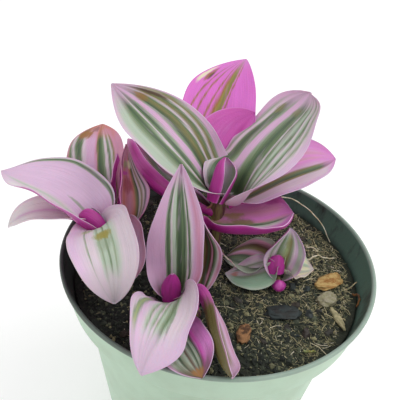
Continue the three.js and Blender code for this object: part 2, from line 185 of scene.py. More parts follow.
class Net(Tree):
    """A material whose nodes end in one shader."""

    def __init__(self, name: str, **fixed: float) -> None:
        """Starts a material.

        Args:
            name: the material's name.
            fixed: values that are the same all over, by the shader's socket names with _ for spaces.
        """
        self.material = bpy.data.materials.new(name)
        self.material.use_nodes = True
        super().__init__(self.material.node_tree)
        self.shader = self.node("ShaderNodeBsdfPrincipled")
        self.node("ShaderNodeOutputMaterial", {}, {"Surface": self.shader.outputs["BSDF"]})
        for key, value in fixed.items():
            self.shader.inputs[key.replace("_", " ")].default_value = value

    def maths(self, operation: str, *values: "Wire | float") -> Wire:
        """Returns a Math node's result."""
        node = self.node("ShaderNodeMath", {"operation": operation}, dict(enumerate(values)))
        return Wire(self, node.outputs[0])

    def uv(self) -> tuple[Wire, Wire]:
        """Returns the place across the blade, -1 to 1, and along it, 0 to 1."""
        split = self.node("ShaderNodeSeparateXYZ", {}, {0: self.node("ShaderNodeUVMap").outputs[0]})
        return Wire(self, split.outputs[0]) * 2.0 - 1.0, Wire(self, split.outputs[1])

    def place(self) -> bpy.types.NodeSocket:
        """Returns the object coordinates."""
        return self.node("ShaderNodeTexCoord").outputs["Object"]

    def axes(self, place: bpy.types.NodeSocket) -> list[Wire]:
        """Returns the three parts of a place."""
        return [Wire(self, part) for part in self.node("ShaderNodeSeparateXYZ", {}, {0: place}).outputs]

    def attribute(self, name: str) -> Wire:
        """Returns a mesh attribute's value."""
        return Wire(self, self.node("ShaderNodeAttribute", {"attribute_name": name}).outputs["Fac"])

    def vector(self, x: "Wire | float", y: "Wire | float", z: "Wire | float" = 0.0) -> bpy.types.NodeSocket:
        """Returns a vector of three values."""
        return self.node("ShaderNodeCombineXYZ", {}, {0: x, 1: y, 2: z}).outputs[0]

    def noise(self, at: bpy.types.NodeSocket, scale: float, detail: float = 2.0, rough: float = 0.5) -> Wire:
        """Returns a noise from 0 to 1.

        Args:
            at: the coordinates.
            scale: its fineness.
            detail: octaves.
            rough: how strong the fine ones are.

        Returns:
            The noise as a wire.
        """
        values = {"Vector": at, "Scale": scale, "Detail": detail, "Roughness": rough}
        return Wire(self, self.node("ShaderNodeTexNoise", {}, values).outputs[0])

    def step(self, value: Wire, low: float, high: float) -> Wire:
        """Makes a smooth step.

        Args:
            value: what is compared.
            low: where the step is 0.
            high: where it is 1; it may be the lesser of the two.

        Returns:
            The step, from 0 to 1.
        """
        settings = {"interpolation_type": "SMOOTHSTEP"}
        flip = low > high
        ends = {"Value": value, "From Min": min(low, high), "From Max": max(low, high)}
        rise = Wire(self, self.node("ShaderNodeMapRange", settings, ends).outputs[0])
        return 1.0 - rise if flip else rise

    def ramp(self, value: Wire, stops: list[tuple[float, Tone]]) -> bpy.types.NodeSocket:
        """Returns a colour read from a ramp."""
        return self.node("ShaderNodeValToRGB", {"stops": stops}, {0: value}).outputs[0]

    def mix(self, share: "Wire | float", a: object, b: object, way: str = "MIX") -> bpy.types.NodeSocket:
        """Mixes two colours.

        Args:
            share: how much of the second.
            a: a colour socket or a tone.
            b: a colour socket or a tone.
            way: the blend type.

        Returns:
            The mixed colour.
        """
        pair = [item.linear() if isinstance(item, Tone) else item for item in (a, b)]
        settings = {"data_type": "RGBA", "blend_type": way}
        return self.node("ShaderNodeMix", settings, {0: share, 6: pair[0], 7: pair[1]}).outputs[2]

    def shade(self, colour: bpy.types.NodeSocket, light: Wire) -> bpy.types.NodeSocket:
        """Returns the colour made lighter or darker by a factor near 1."""
        return self.mix(1.0, colour, self.vector(light, light, light), "MULTIPLY")

    def finish(self, colour: object, rough: "Wire | float", height: Wire | None, depth: float = 0.1) -> None:
        """Feeds the shader.

        Args:
            colour: the base colour.
            rough: the roughness.
            height: relief for the bump, or None.
            depth: the bump's distance in millimetres.
        """
        source = colour.linear() if isinstance(colour, Tone) else colour
        pairs: list[tuple[str, object]] = [("Base Color", source), ("Roughness", rough)]
        if height is not None:
            values = {"Strength": 1.0, "Distance": depth * MM, "Height": height}
            pairs.append(("Normal", self.node("ShaderNodeBump", {}, values).outputs[0]))
        for name, value in pairs:
            wired = value.socket if isinstance(value, Wire) else value
            if isinstance(wired, bpy.types.NodeSocket):
                self.tree.links.new(wired, self.shader.inputs[name])
            else:
                self.shader.inputs[name].default_value = wired


def new_object(name: str, points: np.ndarray, faces: list, finish: bpy.types.Material) -> bpy.types.Object:
    """Makes a mesh object from millimetre points.

    Args:
        name: the piece's name.
        points: rows of x, y and z in millimetres.
        faces: the faces' point numbers.
        finish: its material.

    Returns:
        The object, linked into the scene and shaded smooth.
    """
    mesh = bpy.data.meshes.new(name)
    mesh.from_pydata((np.asarray(points) * MM).tolist(), [], faces)
    mesh.polygons.foreach_set("use_smooth", [True] * len(mesh.polygons))
    mesh.materials.append(finish)
    piece = bpy.data.objects.new(name, mesh)
    bpy.context.scene.collection.objects.link(piece)
    face_outwards(mesh)
    return piece


def face_outwards(mesh: bpy.types.Mesh) -> None:
    """Turns a closed mesh's faces over if they point inwards.

    Args:
        mesh: the closed mesh.
    """
    volume = 0.0
    mesh.calc_loop_triangles()
    points = [vertex.co for vertex in mesh.vertices]
    for triangle in mesh.loop_triangles:
        a, b, c = (points[i] for i in triangle.vertices)
        volume += a.dot(b.cross(c))
    if volume < 0:
        mesh.flip_normals()


def settle(piece: bpy.types.Object, slot: str, *nodes: str) -> bpy.types.Object:
    """Hands a finished piece to the frame.

    Args:
        piece: the object.
        slot: not used.
        nodes: the solids that it stands for, if any.

    Returns:
        The same object.
    """
    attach(piece, "root")
    if nodes:
        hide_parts(*nodes)
    log.info("%s: %d faces", piece.name, len(piece.data.polygons))
    return piece


@dataclass(frozen=True)
class Mark:
    """One patch of another colour on a blade, an oval with a ragged edge."""

    across: float
    along: float
    wide: float
    long: float
    tone: Tone
    strength: float = 0.9


@dataclass(frozen=True)
class LeafFinish:
    """The striped skin of one leaf.

    stripes gives the colour across the upper face from its left margin, -1, to its right one, 1.
    slant is how far the stripes drift across from foot to tip.
    sheath is the underside's colour from the foot as far as sheath_end, if it is another.
    """

    stripes: tuple[tuple[float, Tone], ...]
    under: Tone = Tone.MAGENTA
    sheath: Tone | None = None
    sheath_end: float = 0.34
    margin: Tone = Tone.LILAC
    tip: Tone = Tone.MAUVE
    foot: Tone = Tone.MIST
    tip_share: float = 0.8
    tip_from: float = 0.86
    foot_share: float = 0.5
    slant: float = 0.0
    marks: tuple[Mark, ...] = ()
    seed: float = 0.0

    def material(self, name: str) -> bpy.types.Material:
        """Builds the material.

        Args:
            name: the leaf's name.

        Returns:
            The material, which reads the blade's UV map and its "under" attribute.
        """
        net = Net(name + "_skin", Subsurface_Weight=0.12, Subsurface_Scale=0.0012, Coat_Weight=0.06,
                  Coat_Roughness=0.35)
        u, v = net.uv()
        drift = net.noise(net.vector(u * 1.6, v * 1.3, self.seed), 1.0, 2.0) * 0.16 - 0.08
        ragged = net.noise(net.vector(u * 19.0, v * 2.4, self.seed + 3.0), 1.0, 3.0, 0.65) * 0.13 - 0.065
        lane = u + drift + ragged - (v - 0.5) * self.slant
        stops = [(place / 2 + 0.5, tone) for place, tone in self.stripes]
        colour = net.ramp(lane * 0.5 + 0.5, stops)
        streak = net.noise(net.vector(u * 42.0, v * 2.6, self.seed), 1.0, 3.0, 0.7)
        broad = net.noise(net.vector(u * 3.0, v * 4.0, self.seed + 9.0), 1.0, 2.0)
        wash = net.noise(net.vector(u * 6.0, v * 2.2, self.seed + 13.0), 1.0, 3.0, 0.6)
        colour = net.mix(net.step(wash, 0.54, 0.72) * 0.26, colour, self.margin)
        colour = net.shade(colour, streak * 0.44 + broad * 0.2 + 0.7)
        hem = net.noise(net.vector(u * 5.0, v * 6.0, self.seed + 5.0), 1.0, 2.0) * 0.16
        towards_tip = net.step(v + hem, self.tip_from, self.tip_from + 0.18) * self.tip_share
        colour = net.mix(towards_tip, colour, self.tip)
        towards_foot = net.step(v + hem, 0.3, 0.06) * self.foot_share
        colour = net.mix(towards_foot, colour, self.foot)
        for mark in self.marks:
            du = (u - mark.across) / mark.wide
            dv = (v - mark.along) / mark.long
            torn = net.noise(net.vector(u * 9.0, v * 11.0, mark.along), 1.0, 4.0, 0.65) * 2.6
            colour = net.mix(net.step(du * du + dv * dv + torn, 2.6, 1.4) * mark.strength, colour, mark.tone)
        edge = net.maths("ABSOLUTE", u)
        colour = net.mix(net.step(edge, 0.94, 0.99) * net.step(v, 0.02, 0.16) * 0.8, colour, self.margin)
        veins = net.noise(net.vector(u * 9.0, v * 1.2, self.seed + 7.0), 1.0, 2.0)
        below = net.shade(net.mix(net.step(veins, 0.5, 0.7) * 0.35, self.under, Tone.PLUM),
                          streak * 0.3 + 0.85)
        below = net.mix(net.step(edge, 0.9, 1.0) * 0.35, below, Tone.ORCHID)
        if self.sheath is not None:
            sheathed = net.step(v + hem, self.sheath_end, self.sheath_end - 0.14)
            below = net.mix(sheathed * 0.9, below, self.sheath)
        under = net.attribute("under")
        colour = net.mix(under, colour, below)
        cells = net.noise(net.place(), 1500.0, 1.0)
        ribs = net.noise(net.vector(u * 26.0, v * 0.8, self.seed + 1.0), 1.0, 2.0)
        net.finish(colour, cells * 0.12 + ribs * 0.12 + 0.34, ribs * 0.7 + cells * 0.3, 0.22)
        return net.material


@dataclass
class Blade:
    """One leaf: a blade bent along its midrib and cupped across it, clasping the stem at its foot.

    at is the midrib's foot; azimuth and rise are its heading at the foot, the middle and the tip;
    roll turns it about the midrib; cup is the bend of its left and right half.
    waves lifts and drops its margins, and bulges widens or narrows a side over part of its length.
    """

    at: tuple[float, float, float]
    azimuth: tuple[float, float, float]
    rise: tuple[float, float, float]
    length: float
    width: float
    finish: LeafFinish
    roll: tuple[float, float] = (0, 0)
    cup: tuple[float, float] = (30, 30)
    tip_cup: float = 30
    clasp: float = 150
    hold: float = 0.14
    widest: float = 0.38
    full: float = 1.35
    foot: float = 0.62
    neck: float = 0
    waves: float = 0.45
    phase: float = 0.0
    bulges: tuple[tuple[int, float, float, float], ...] = ()
    thick: float = 0.62
    thin: float = 0.3
    stations: int = 46
    columns: int = 13

    def share(self, s: np.ndarray) -> np.ndarray:
        """Gives the blade's outline.

        Args:
            s: places along the blade, 0 at the foot and 1 at the tip.

        Returns:
            The width at each as a share of the greatest width.
        """
        if self.neck == 0:
            low = self.foot + (1 - self.foot) * np.sin(np.pi / 2 * s / self.widest)
        else:
            flare = np.sin(np.pi / 2 * np.minimum(1, s / self.neck))
            reach = np.clip((s - self.neck) / (self.widest - self.neck), 0, 1)
            low = self.foot + (SHOULDER - self.foot) * flare + (1 - SHOULDER) * np.sin(np.pi / 2 * reach)
        past = np.clip((s - self.widest) / (1 - self.widest), 0, 1)
        high = np.maximum(0, np.cos(np.pi / 2 * past ** self.full)) ** 0.9
        return np.where(s < self.widest, low, high)

    @staticmethod
    def through(ends: tuple[float, float, float], s: np.ndarray) -> np.ndarray:
        """Returns the curve through three values at the foot, the middle and the tip."""
        a, b, c = ends
        return a + (4 * b - 3 * a - c) * s + (2 * a + 2 * c - 4 * b) * s * s

    def headings(self, s: np.ndarray) -> np.ndarray:
        """Returns the midrib's direction at each station."""
        turn, climb = np.radians(self.through(self.azimuth, s)), np.radians(self.through(self.rise, s))
        return np.stack([np.cos(climb) * np.cos(turn), np.cos(climb) * np.sin(turn), np.sin(climb)], -1)

    def skins(self) -> tuple[np.ndarray, np.ndarray, np.ndarray, np.ndarray]:
        """Lays out both faces of the blade.

        Returns:
            Points of the upper face and of the underside, one row a station, then the places of the
            rows along the blade and of the columns across it.
        """
        s = np.linspace(0, 1, self.stations + 1) ** 0.92
        fine = np.linspace(0, 1, 241)
        run = self.headings(fine)
        walk = np.vstack([[0, 0, 0], np.cumsum((run[1:] + run[:-1]) / 2, 0) / 240]) * self.length
        spine = np.stack([np.interp(s, fine, walk[:, k]) for k in range(3)], -1) + np.array(self.at)
        turn = np.radians(self.through(self.azimuth, s))
        flat = np.stack([np.sin(turn), -np.cos(turn), 0 * turn], -1)
        raised = np.cross(flat, self.headings(s))
        roll = np.radians(self.roll[0] + (self.roll[1] - self.roll[0]) * s)[:, None]
        right = np.cos(roll) * flat + np.sin(roll) * raised
        up = np.cos(roll) * raised - np.sin(roll) * flat
        t = np.linspace(0, 1, self.columns + 1)
        half = 1 - (1 - t) ** 1.5
        u = np.concatenate([-half[:0:-1], half])
        faces = np.empty((len(s), len(u), 3))
        backs = np.empty_like(faces)
        hold = np.exp(-((s / self.hold) ** 2))
        for column, across in enumerate(u):
            side = -1 if across < 0 else 1
            bend = self.cup[0] if side < 0 else self.cup[1]
            angle = bend + (self.tip_cup - bend) * s * s + (self.clasp - bend) * hold
            angle = np.radians(np.where(np.abs(angle) < 0.5, 0.5, angle))
            reach = np.maximum(0.18, self.width / 2 * self.share(s) * self.bulge(side, s))
            radius = reach / angle
            swing = angle * abs(across)
            ruffle = np.sin(2 * np.pi * (2.3 * s + self.phase + 0.25 * side)) * np.sin(np.pi * s)
            rib = 0.1 * np.cos(17 * across) * np.sin(np.pi * s) - 0.3 * np.exp(-((across / 0.05) ** 2))
            lift = self.waves * ruffle * abs(across) ** 2.4 + rib * np.sin(np.pi * s) ** 0.5
            normal = up * np.cos(swing)[:, None] - right * (side * np.sin(swing))[:, None]
            face = spine + right * (side * radius * np.sin(swing))[:, None]
            face = face + up * (radius * (1 - np.cos(swing)))[:, None] + normal * lift[:, None]
            faces[:, column] = face - 0.08 * normal
            depth = 0.08 + self.thick + (self.thin - self.thick) * abs(across) ** 3
            backs[:, column] = face - normal * depth
        return faces, backs, s, u

    def bulge(self, side: int, s: np.ndarray) -> np.ndarray:
        """Widens or narrows one side.

        Args:
            side: -1 for the left half, 1 for the right.
            s: places along the blade.

        Returns:
            The factor on that half's width at each place.
        """
        factor = np.ones_like(s)
        for where, centre, spread, amount in self.bulges:
            if where == side:
                factor = factor + amount * np.exp(-(((s - centre) / spread) ** 2))
        return factor

    def build(self, name: str) -> bpy.types.Object:
        """Makes the leaf.

        Args:
            name: the piece's name.

        Returns:
            A closed blade with a rounded margin, a UV map and an "under" attribute.
        """
        faces, backs, s, u = self.skins()
        count = len(u)
        outward = faces[:, 0] - faces[:, 1]
        outward = outward / np.linalg.norm(outward, axis=1)[:, None]
        left = (faces[:, 0] + backs[:, 0]) / 2 + outward * 0.1
        outward = faces[:, -1] - faces[:, -2]
        outward = outward / np.linalg.norm(outward, axis=1)[:, None]
        right = (faces[:, -1] + backs[:, -1]) / 2 + outward * 0.1
        rings = np.concatenate([faces, right[:, None], backs[:, ::-1], left[:, None]], 1)
        ring = rings.shape[1]
        across = np.concatenate([u, [1], u[::-1], [-1]])
        quads, kinds = [], []
        for row in range(len(s) - 1):
            for i in range(ring):
                j = (i + 1) % ring
                quads.append((row * ring + i, row * ring + j, (row + 1) * ring + j, (row + 1) * ring + i))
                kinds.append(1 if count < i < 2 * count else 0)
        for row in (0, len(s) - 1):
            base = row * ring
            cap = [[base + i, base + i + 1, base + 2 * count - i - 1, base + 2 * count - i]
                   for i in range(count - 1)]
            cap += [[base + count - 1, base + count, base + count + 1],
                    [base, base + 2 * count, base + ring - 1]]
            if row == 0:
                cap = [list(reversed(face)) for face in cap]
            quads += [tuple(reversed(face)) for face in cap]
            kinds += [0] * len(cap)
        piece = new_object(name, rings.reshape(-1, 3), quads, self.finish.material(name))
        mesh = piece.data
        where = np.zeros(len(mesh.loops), dtype=np.int32)
        mesh.loops.foreach_get("vertex_index", where)
        layer = mesh.uv_layers.new(name="blade")
        places = np.stack([(across[where % ring] + 1) / 2, s[where // ring]], -1)
        layer.data.foreach_set("uv", places.ravel())
        sides = mesh.attributes.new("under", "FLOAT", "FACE")
        sides.data.foreach_set("value", np.array(kinds, dtype=np.float32))
        return piece


def bands(*items: tuple[float, Tone]) -> tuple[tuple[float, Tone], ...]:
    """Returns the stripes of a leaf, from left to right."""
    return tuple(items)


T = Tone
ROLLED = LeafFinish(bands((-1, T.MAUVE), (-0.4, T.MIST), (0.1, T.LILAC), (0.5, T.SAGE), (1, T.MAUVE)),
                    foot=T.MAUVE, tip=T.ORCHID, seed=8.0)


def rolled(at: tuple[float, float, float], heading: float, rise: tuple[float, float, float], length: float,
           width: float, turn: float, **shape: float) -> Blade:
    """Returns a rolled young leaf, the one in the heart of a shoot.

    Args:
        at: the midrib's foot.
        heading: its direction seen from above.
        rise: its climb at the foot, the middle and the tip.
        length: the blade's length.
        width: its width laid flat.
        turn: its roll about the midrib.
        shape: outline values that differ from the usual ones.

    Returns:
        The blade.
    """
    outline = {"widest": 0.45, "full": 2, "foot": 0.8, "tip_cup": 120, **shape}
    return Blade(at, (heading,) * 3, rise, length, width, ROLLED, roll=(turn, turn), cup=(168, 168),
                 clasp=168, hold=3, waves=0, **outline)


MAIN_LEAVES: dict[str, Blade] = {
    "upper_left": Blade(
        (-4.6, 10.2, 118), (192, 167, 152), (79, 36, 26), 61.3, 30.8,
        LeafFinish(
            bands((-1, T.PALE), (-0.86, T.MIST), (-0.66, T.MIST), (-0.56, T.SAGE), (-0.47, T.LEAF),
                  (-0.38, T.DEEP), (-0.3, T.LEAF), (-0.25, T.SAGE), (-0.2, T.PALE), (-0.15, T.LEAF),
                  (-0.07, T.DEEP), (0, T.SAGE), (0.07, T.MAUVE), (0.18, T.MAUVE), (0.22, T.SAGE),
                  (0.28, T.DEEP), (0.4, T.OLIVE), (0.47, T.LEAF), (0.52, T.PALE), (0.57, T.OLIVE),
                  (0.66, T.LEAF), (0.71, T.PALE), (0.77, T.OLIVE), (0.85, T.SAGE), (0.9, T.MAUVE),
                  (1, T.MAUVE)),
            sheath=T.MIST, tip=T.MAUVE, foot=T.DEEP, foot_share=0.85, slant=0.42, seed=1.0,
            marks=(Mark(0.8, 0.79, 0.09, 0.12, T.BROWN, 0.95), Mark(0.93, 0.78, 0.07, 0.07, T.STONE, 0.7),
                   Mark(0.5, 0.81, 0.2, 0.05, T.OCHRE, 0.6)),
        ),
        roll=(4, 43), cup=(36, 44), tip_cup=20, hold=0.13, widest=0.25, full=1.39, foot=0.39,
        clasp=172, neck=0.1, waves=0.7, phase=0.1,
    ),
    "upper_right": Blade(
        (5.5, 7.6, 122.4), (55.6, 55.3, 32.5), (96.3, 28.1, 56.6), 52.6, 38,
        LeafFinish(
            bands((-1, T.MAUVE), (-0.88, T.SAGE), (-0.8, T.PALE), (-0.73, T.PALE), (-0.66, T.LEAF),
                  (-0.56, T.DEEP), (-0.45, T.LEAF), (-0.36, T.SAGE), (-0.31, T.MAUVE),
                  (-0.14, T.MAUVE), (-0.08, T.SAGE), (0, T.LEAF), (0.1, T.DEEP), (0.2, T.LEAF),
                  (0.27, T.LEAF), (0.31, T.PALE), (0.35, T.LEAF), (0.45, T.MIST), (0.51, T.LEAF),
                  (0.57, T.PALE), (0.63, T.MIST), (0.68, T.LEAF), (0.73, T.PALE), (0.8, T.SAGE),
                  (0.85, T.PALE), (0.92, T.LILAC), (1, T.LILAC)),
            sheath=T.PALE, tip=T.MAUVE, foot=T.DEEP, foot_share=0.6, slant=0.42, seed=2.0,
            marks=(Mark(-0.5, 0.82, 0.14, 0.05, T.OLIVE, 0.8), Mark(0.15, 0.8, 0.16, 0.05, T.OLIVE, 0.7),
                   Mark(0.75, 0.06, 0.5, 0.07, T.PALE, 0.9),
                   Mark(-0.6, 0.1, 0.32, 0.13, T.DEEP, 0.85)),
        ),
        roll=(13, 27), cup=(-23, -15), tip_cup=34, hold=0.19, widest=0.65, full=3.5, foot=0.4,
        clasp=151, neck=0.09, waves=0.8, phase=0.4,
    ),
    "back": Blade(
        (-3, 9, 119), (92, 94, 50), (25, 33, 4), 80, 32,
        LeafFinish(
            bands((-1, T.VIVID), (-0.86, T.VIVID), (-0.81, T.OCHRE), (-0.76, T.VIVID),
                  (-0.66, T.VIVID), (-0.6, T.OCHRE), (-0.55, T.VIVID), (-0.4, T.VIVID),
                  (-0.35, T.OCHRE), (-0.3, T.VIVID), (-0.17, T.OCHRE), (-0.12, T.MOSS),
                  (-0.04, T.OLIVE), (0.02, T.MOSS), (0.05, T.VIVID), (0.1, T.OCHRE),
                  (0.14, T.VIVID), (1, T.VIVID)),
            margin=T.VIVID, tip=T.VIVID, foot=T.MAGENTA, slant=1.35, seed=3.0,
            marks=(Mark(-0.86, 0.79, 0.1, 0.09, T.CREAM, 0.9), Mark(-0.66, 0.79, 0.1, 0.07, T.OCHRE, 0.95),
                   Mark(-0.6, 0.78, 0.06, 0.05, T.BROWN, 0.8)),
        ),
        roll=(4, 17), cup=(33, 7), tip_cup=12, widest=0.44, full=1.62, foot=0.5, clasp=160, waves=0.8,
    ),
    "between": Blade(
        (-1, 8, 117), (120, 76, 20), (29, 41, 22), 46.7, 25.3,
        LeafFinish(
            bands((-1, T.FUCHSIA), (0.1, T.FUCHSIA), (0.3, T.MAGENTA), (0.45, T.FUCHSIA),
                  (1, T.ORCHID)),
            margin=T.ORCHID, tip=T.FUCHSIA, foot=T.MAGENTA, seed=4.0,
        ),
        roll=(-26, -50), cup=(-15, 25), tip_cup=2, widest=0.48, full=1.3, clasp=140,
    ),
    "right": Blade(
        (0.4, 5, 120), (36, 33, 26), (30, 14, -12), 53.6, 25.5,
        LeafFinish(
            bands((-1, T.ORCHID), (-0.6, T.ORCHID), (-0.35, T.ROSE), (-0.25, T.ORCHID),
                  (-0.12, T.ROSE), (-0.04, T.ORCHID), (0.2, T.MAUVE), (0.28, T.OLIVE),
                  (0.36, T.LEAF), (0.44, T.DEEP), (0.5, T.OLIVE), (0.56, T.PALE), (0.8, T.PALE),
                  (0.9, T.LILAC), (1, T.LILAC)),
            tip=T.ORCHID, foot=T.OLIVE, foot_share=0.6, slant=0.12, seed=5.0,
        ),
        roll=(0, -27), cup=(24, 16), tip_cup=35, hold=0.12, widest=0.45, full=1.7, clasp=90, phase=0.3,
    ),
    "lower_right": Blade(
        (-4, 0.5, 114), (-18, -1, 8), (17, 13, 48), 32, 29,
        LeafFinish(
            bands((-1, T.MAGENTA), (-0.9, T.FUCHSIA), (-0.8, T.ORCHID), (-0.45, T.ROSE),
                  (-0.2, T.ORCHID), (-0.1, T.ROSE), (-0.05, T.SAGE), (0, T.DEEP), (0.04, T.MIST),
                  (0.1, T.PALE), (0.18, T.ORCHID), (0.5, T.FUCHSIA), (1, T.MAGENTA)),
            tip=T.ORCHID, foot=T.MOSS, foot_share=0.85, seed=6.0,
            marks=(Mark(-0.12, 0.36, 0.14, 0.2, T.OLIVE, 0.85), Mark(-0.34, 0.26, 0.14, 0.16, T.MOSS, 0.75),
                   Mark(-0.7, 0.8, 0.1, 0.14, T.MAGENTA, 0.5)),
        ),
        roll=(-20, 5), cup=(21, 102), tip_cup=35, hold=0.1, widest=0.57, full=4,
    ),
    "lower_left": Blade(
        (-4.2, 4, 116), (184, 134, 116), (20, 0, 38.5), 58.9, 24.8,
        LeafFinish(
            bands((-1, T.FUCHSIA), (-0.4, T.MAGENTA), (-0.1, T.PLUM), (0.1, T.DEEP), (0.35, T.BROWN),
                  (0.5, T.DEEP), (0.62, T.BROWN), (0.75, T.DEEP), (0.85, T.PLUM), (0.92, T.MAUVE),
                  (1, T.LILAC)),
            tip=T.MAGENTA, foot=T.WINE, seed=7.0,
        ),
        roll=(13, -48), cup=(154, 40), tip_cup=77, hold=0.11, widest=0.59, full=2.23, foot=0.3,
    ),
    "young": rolled((-4.4, 3.6, 123), 62, (66, 64, 62), 16.5, 19.5, -52),
}

LEFT_LEAVES: dict[str, Blade] = {
    "upper": Blade(
        (-48, -4.5, 108), (159, 176, 179), (74, 23, 9), 43, 29.5,
        LeafFinish(
            bands((-1, T.SILVER), (-0.75, T.SILVER), (-0.5, T.PALE), (-0.4, T.MIST), (-0.32, T.PALE),
                  (-0.2, T.LILAC), (0.4, T.LILAC), (0.6, T.LILAC), (0.84, T.LILAC), (0.88, T.SAGE),
                  (0.91, T.DEEP), (0.94, T.SAGE), (0.97, T.MIST), (1, T.LILAC)),
            tip=T.LILAC, foot=T.MAGENTA, foot_share=0.5, seed=11.0,
            marks=(Mark(0.0, 0.27, 0.05, 0.12, T.SAGE, 0.8), Mark(-0.8, 0.3, 0.3, 0.22, T.FUCHSIA, 0.6)),
        ),
        roll=(28, -7), cup=(93, 39), tip_cup=1, hold=0.16, widest=0.45, full=1.5, foot=0.45,
        clasp=170, neck=0.1, waves=0.8,
    ),
    "tongue": Blade(
        (-44, -9, 110), (-82, -62, -68), (76, -18, -80), 42, 24,
        LeafFinish(
            bands((-1, T.MAUVE), (-0.9, T.PALE), (-0.5, T.PALE), (-0.32, T.MIST), (-0.27, T.SAGE),
                  (-0.22, T.MIST), (-0.12, T.MIST), (-0.07, T.LEAF), (-0.02, T.MIST), (0.08, T.MIST),
                  (0.13, T.SAGE), (0.18, T.MIST), (0.3, T.PALE), (0.46, T.PALE), (0.5, T.SAGE),
                  (0.54, T.PALE), (0.8, T.LILAC), (1, T.LILAC)),
            margin=T.PALE, tip=T.PALE, foot=T.LILAC, tip_from=0.72, seed=12.0,
            marks=(Mark(-0.02, 0.46, 0.26, 0.11, T.SAGE, 0.6), Mark(-0.02, 0.385, 0.3, 0.06, T.MOSS, 0.95),
                   Mark(0.45, 0.22, 0.2, 0.05, T.LIME, 0.7)),
        ),
        roll=(-29, -6), cup=(35, 25), tip_cup=47, hold=0.12, widest=0.37, full=1.5, phase=0.5,
    ),
    "lower": Blade(
        (-47, -5, 108), (170, 187, 176), (46, -4, -56), 40.5, 13.5,
        LeafFinish(
            bands((-1, T.SILVER), (-0.3, T.SILVER), (-0.1, T.PALE), (0.05, T.MAUVE), (0.15, T.PALE),
                  (0.4, T.SILVER), (0.8, T.SILVER), (1, T.LILAC)),
            margin=T.SILVER, tip=T.SILVER, foot=T.MAUVE, seed=13.0,
        ),
        roll=(-9, 29), cup=(41, 37), tip_cup=35, hold=0.17, widest=0.41, full=1.4,
    ),
    "back": Blade(
        (-47, 0.5, 106.5), (135, 99, 99), (52, 38, 19), 45.5, 23,
        LeafFinish(
            bands((-1, T.SAGE), (-0.86, T.OLIVE), (-0.78, T.LEAF), (-0.7, T.PALE), (-0.62, T.LEAF),
                  (-0.54, T.DEEP), (-0.45, T.LEAF), (-0.38, T.PALE), (-0.25, T.MAUVE), (0, T.MAUVE),
                  (0.09, T.ROSE), (0.13, T.OLIVE), (0.22, T.DEEP), (0.33, T.LEAF), (0.4, T.SAGE),
                  (0.44, T.PALE), (0.5, T.PALE), (0.56, T.LEAF), (0.61, T.SAGE), (0.66, T.PALE),
                  (0.73, T.OLIVE), (0.8, T.ROSE), (1, T.ROSE)),
            margin=T.ROSE, tip=T.SALMON, foot=T.LEAF, tip_share=0.8, slant=-0.75, seed=14.0,
            marks=(Mark(-0.7, 0.85, 0.36, 0.06, T.OCHRE, 0.95), Mark(-0.45, 0.93, 0.3, 0.04, T.BROWN, 0.5),
                   Mark(0.4, 0.9, 0.4, 0.05, T.ROSE, 0.6)),
        ),
        roll=(-6, 4), cup=(15, 45), tip_cup=20, hold=0.16, widest=0.6, full=1.4, clasp=110,
    ),
    "edge_on": Blade(
        (-42.5, -3, 106), (96, 94, 97), (51, 46, 55), 31.5, 9,
        LeafFinish(bands((-1, T.FUCHSIA), (0, T.MAGENTA), (1, T.FUCHSIA)), under=T.FUCHSIA, tip=T.FUCHSIA,
                   foot=T.MAGENTA, seed=15.0),
        roll=(-50, -65),
    ),
    "inner": Blade(
        (-35.2, -4.3, 105.5), (53, 114, 85), (82, 52, 68), 36.6, 16.3,
        LeafFinish(
            bands((-1, T.PLUM), (-0.8, T.MAGENTA), (-0.6, T.ROSE), (-0.4, T.SALMON), (0, T.ROSE),
                  (0.2, T.SALMON), (0.3, T.OLIVE), (0.4, T.DEEP), (0.48, T.PALE), (0.56, T.OLIVE),
                  (0.66, T.PALE), (0.74, T.DEEP), (0.85, T.MAUVE), (1, T.MAUVE)),
            margin=T.ROSE, tip=T.ROSE, foot=T.LEAF, tip_share=0.9, slant=0.3, seed=16.0,
            marks=(Mark(-0.1, 0.58, 0.4, 0.1, T.BLUSH, 0.85), Mark(-0.1, 0.79, 0.4, 0.045, T.LIME, 0.85),
                   Mark(0.35, 0.79, 0.2, 0.05, T.CREAM, 0.8), Mark(-0.3, 0.7, 0.4, 0.025, T.FUCHSIA, 0.9)),
        ),
        roll=(11, -64), cup=(69, 61), tip_cup=12, hold=0.35, widest=0.5, full=0.7, foot=0.52,
        clasp=170,
    ),
    "pink": Blade(
        (-39.2, -7, 106), (-70, -60, -54), (61, -4, -53), 27, 21.5,
        LeafFinish(
            bands((-1, T.ROSE), (-0.6, T.MAUVE), (-0.35, T.SAGE), (-0.2, T.MAUVE), (0.2, T.ROSE),
                  (1, T.ROSE)),
            under=T.FUCHSIA, tip=T.ROSE, foot=T.MAGENTA, seed=17.0,
        ),
        roll=(-30, -27), cup=(38, 20), tip_cup=37, hold=0.16, widest=0.32, full=1.7, clasp=100,
    ),
    "young": rolled((-45.6, -7.3, 109.6), 165, (35, 22, 14), 9.5, 15, -32, tip_cup=110),
}

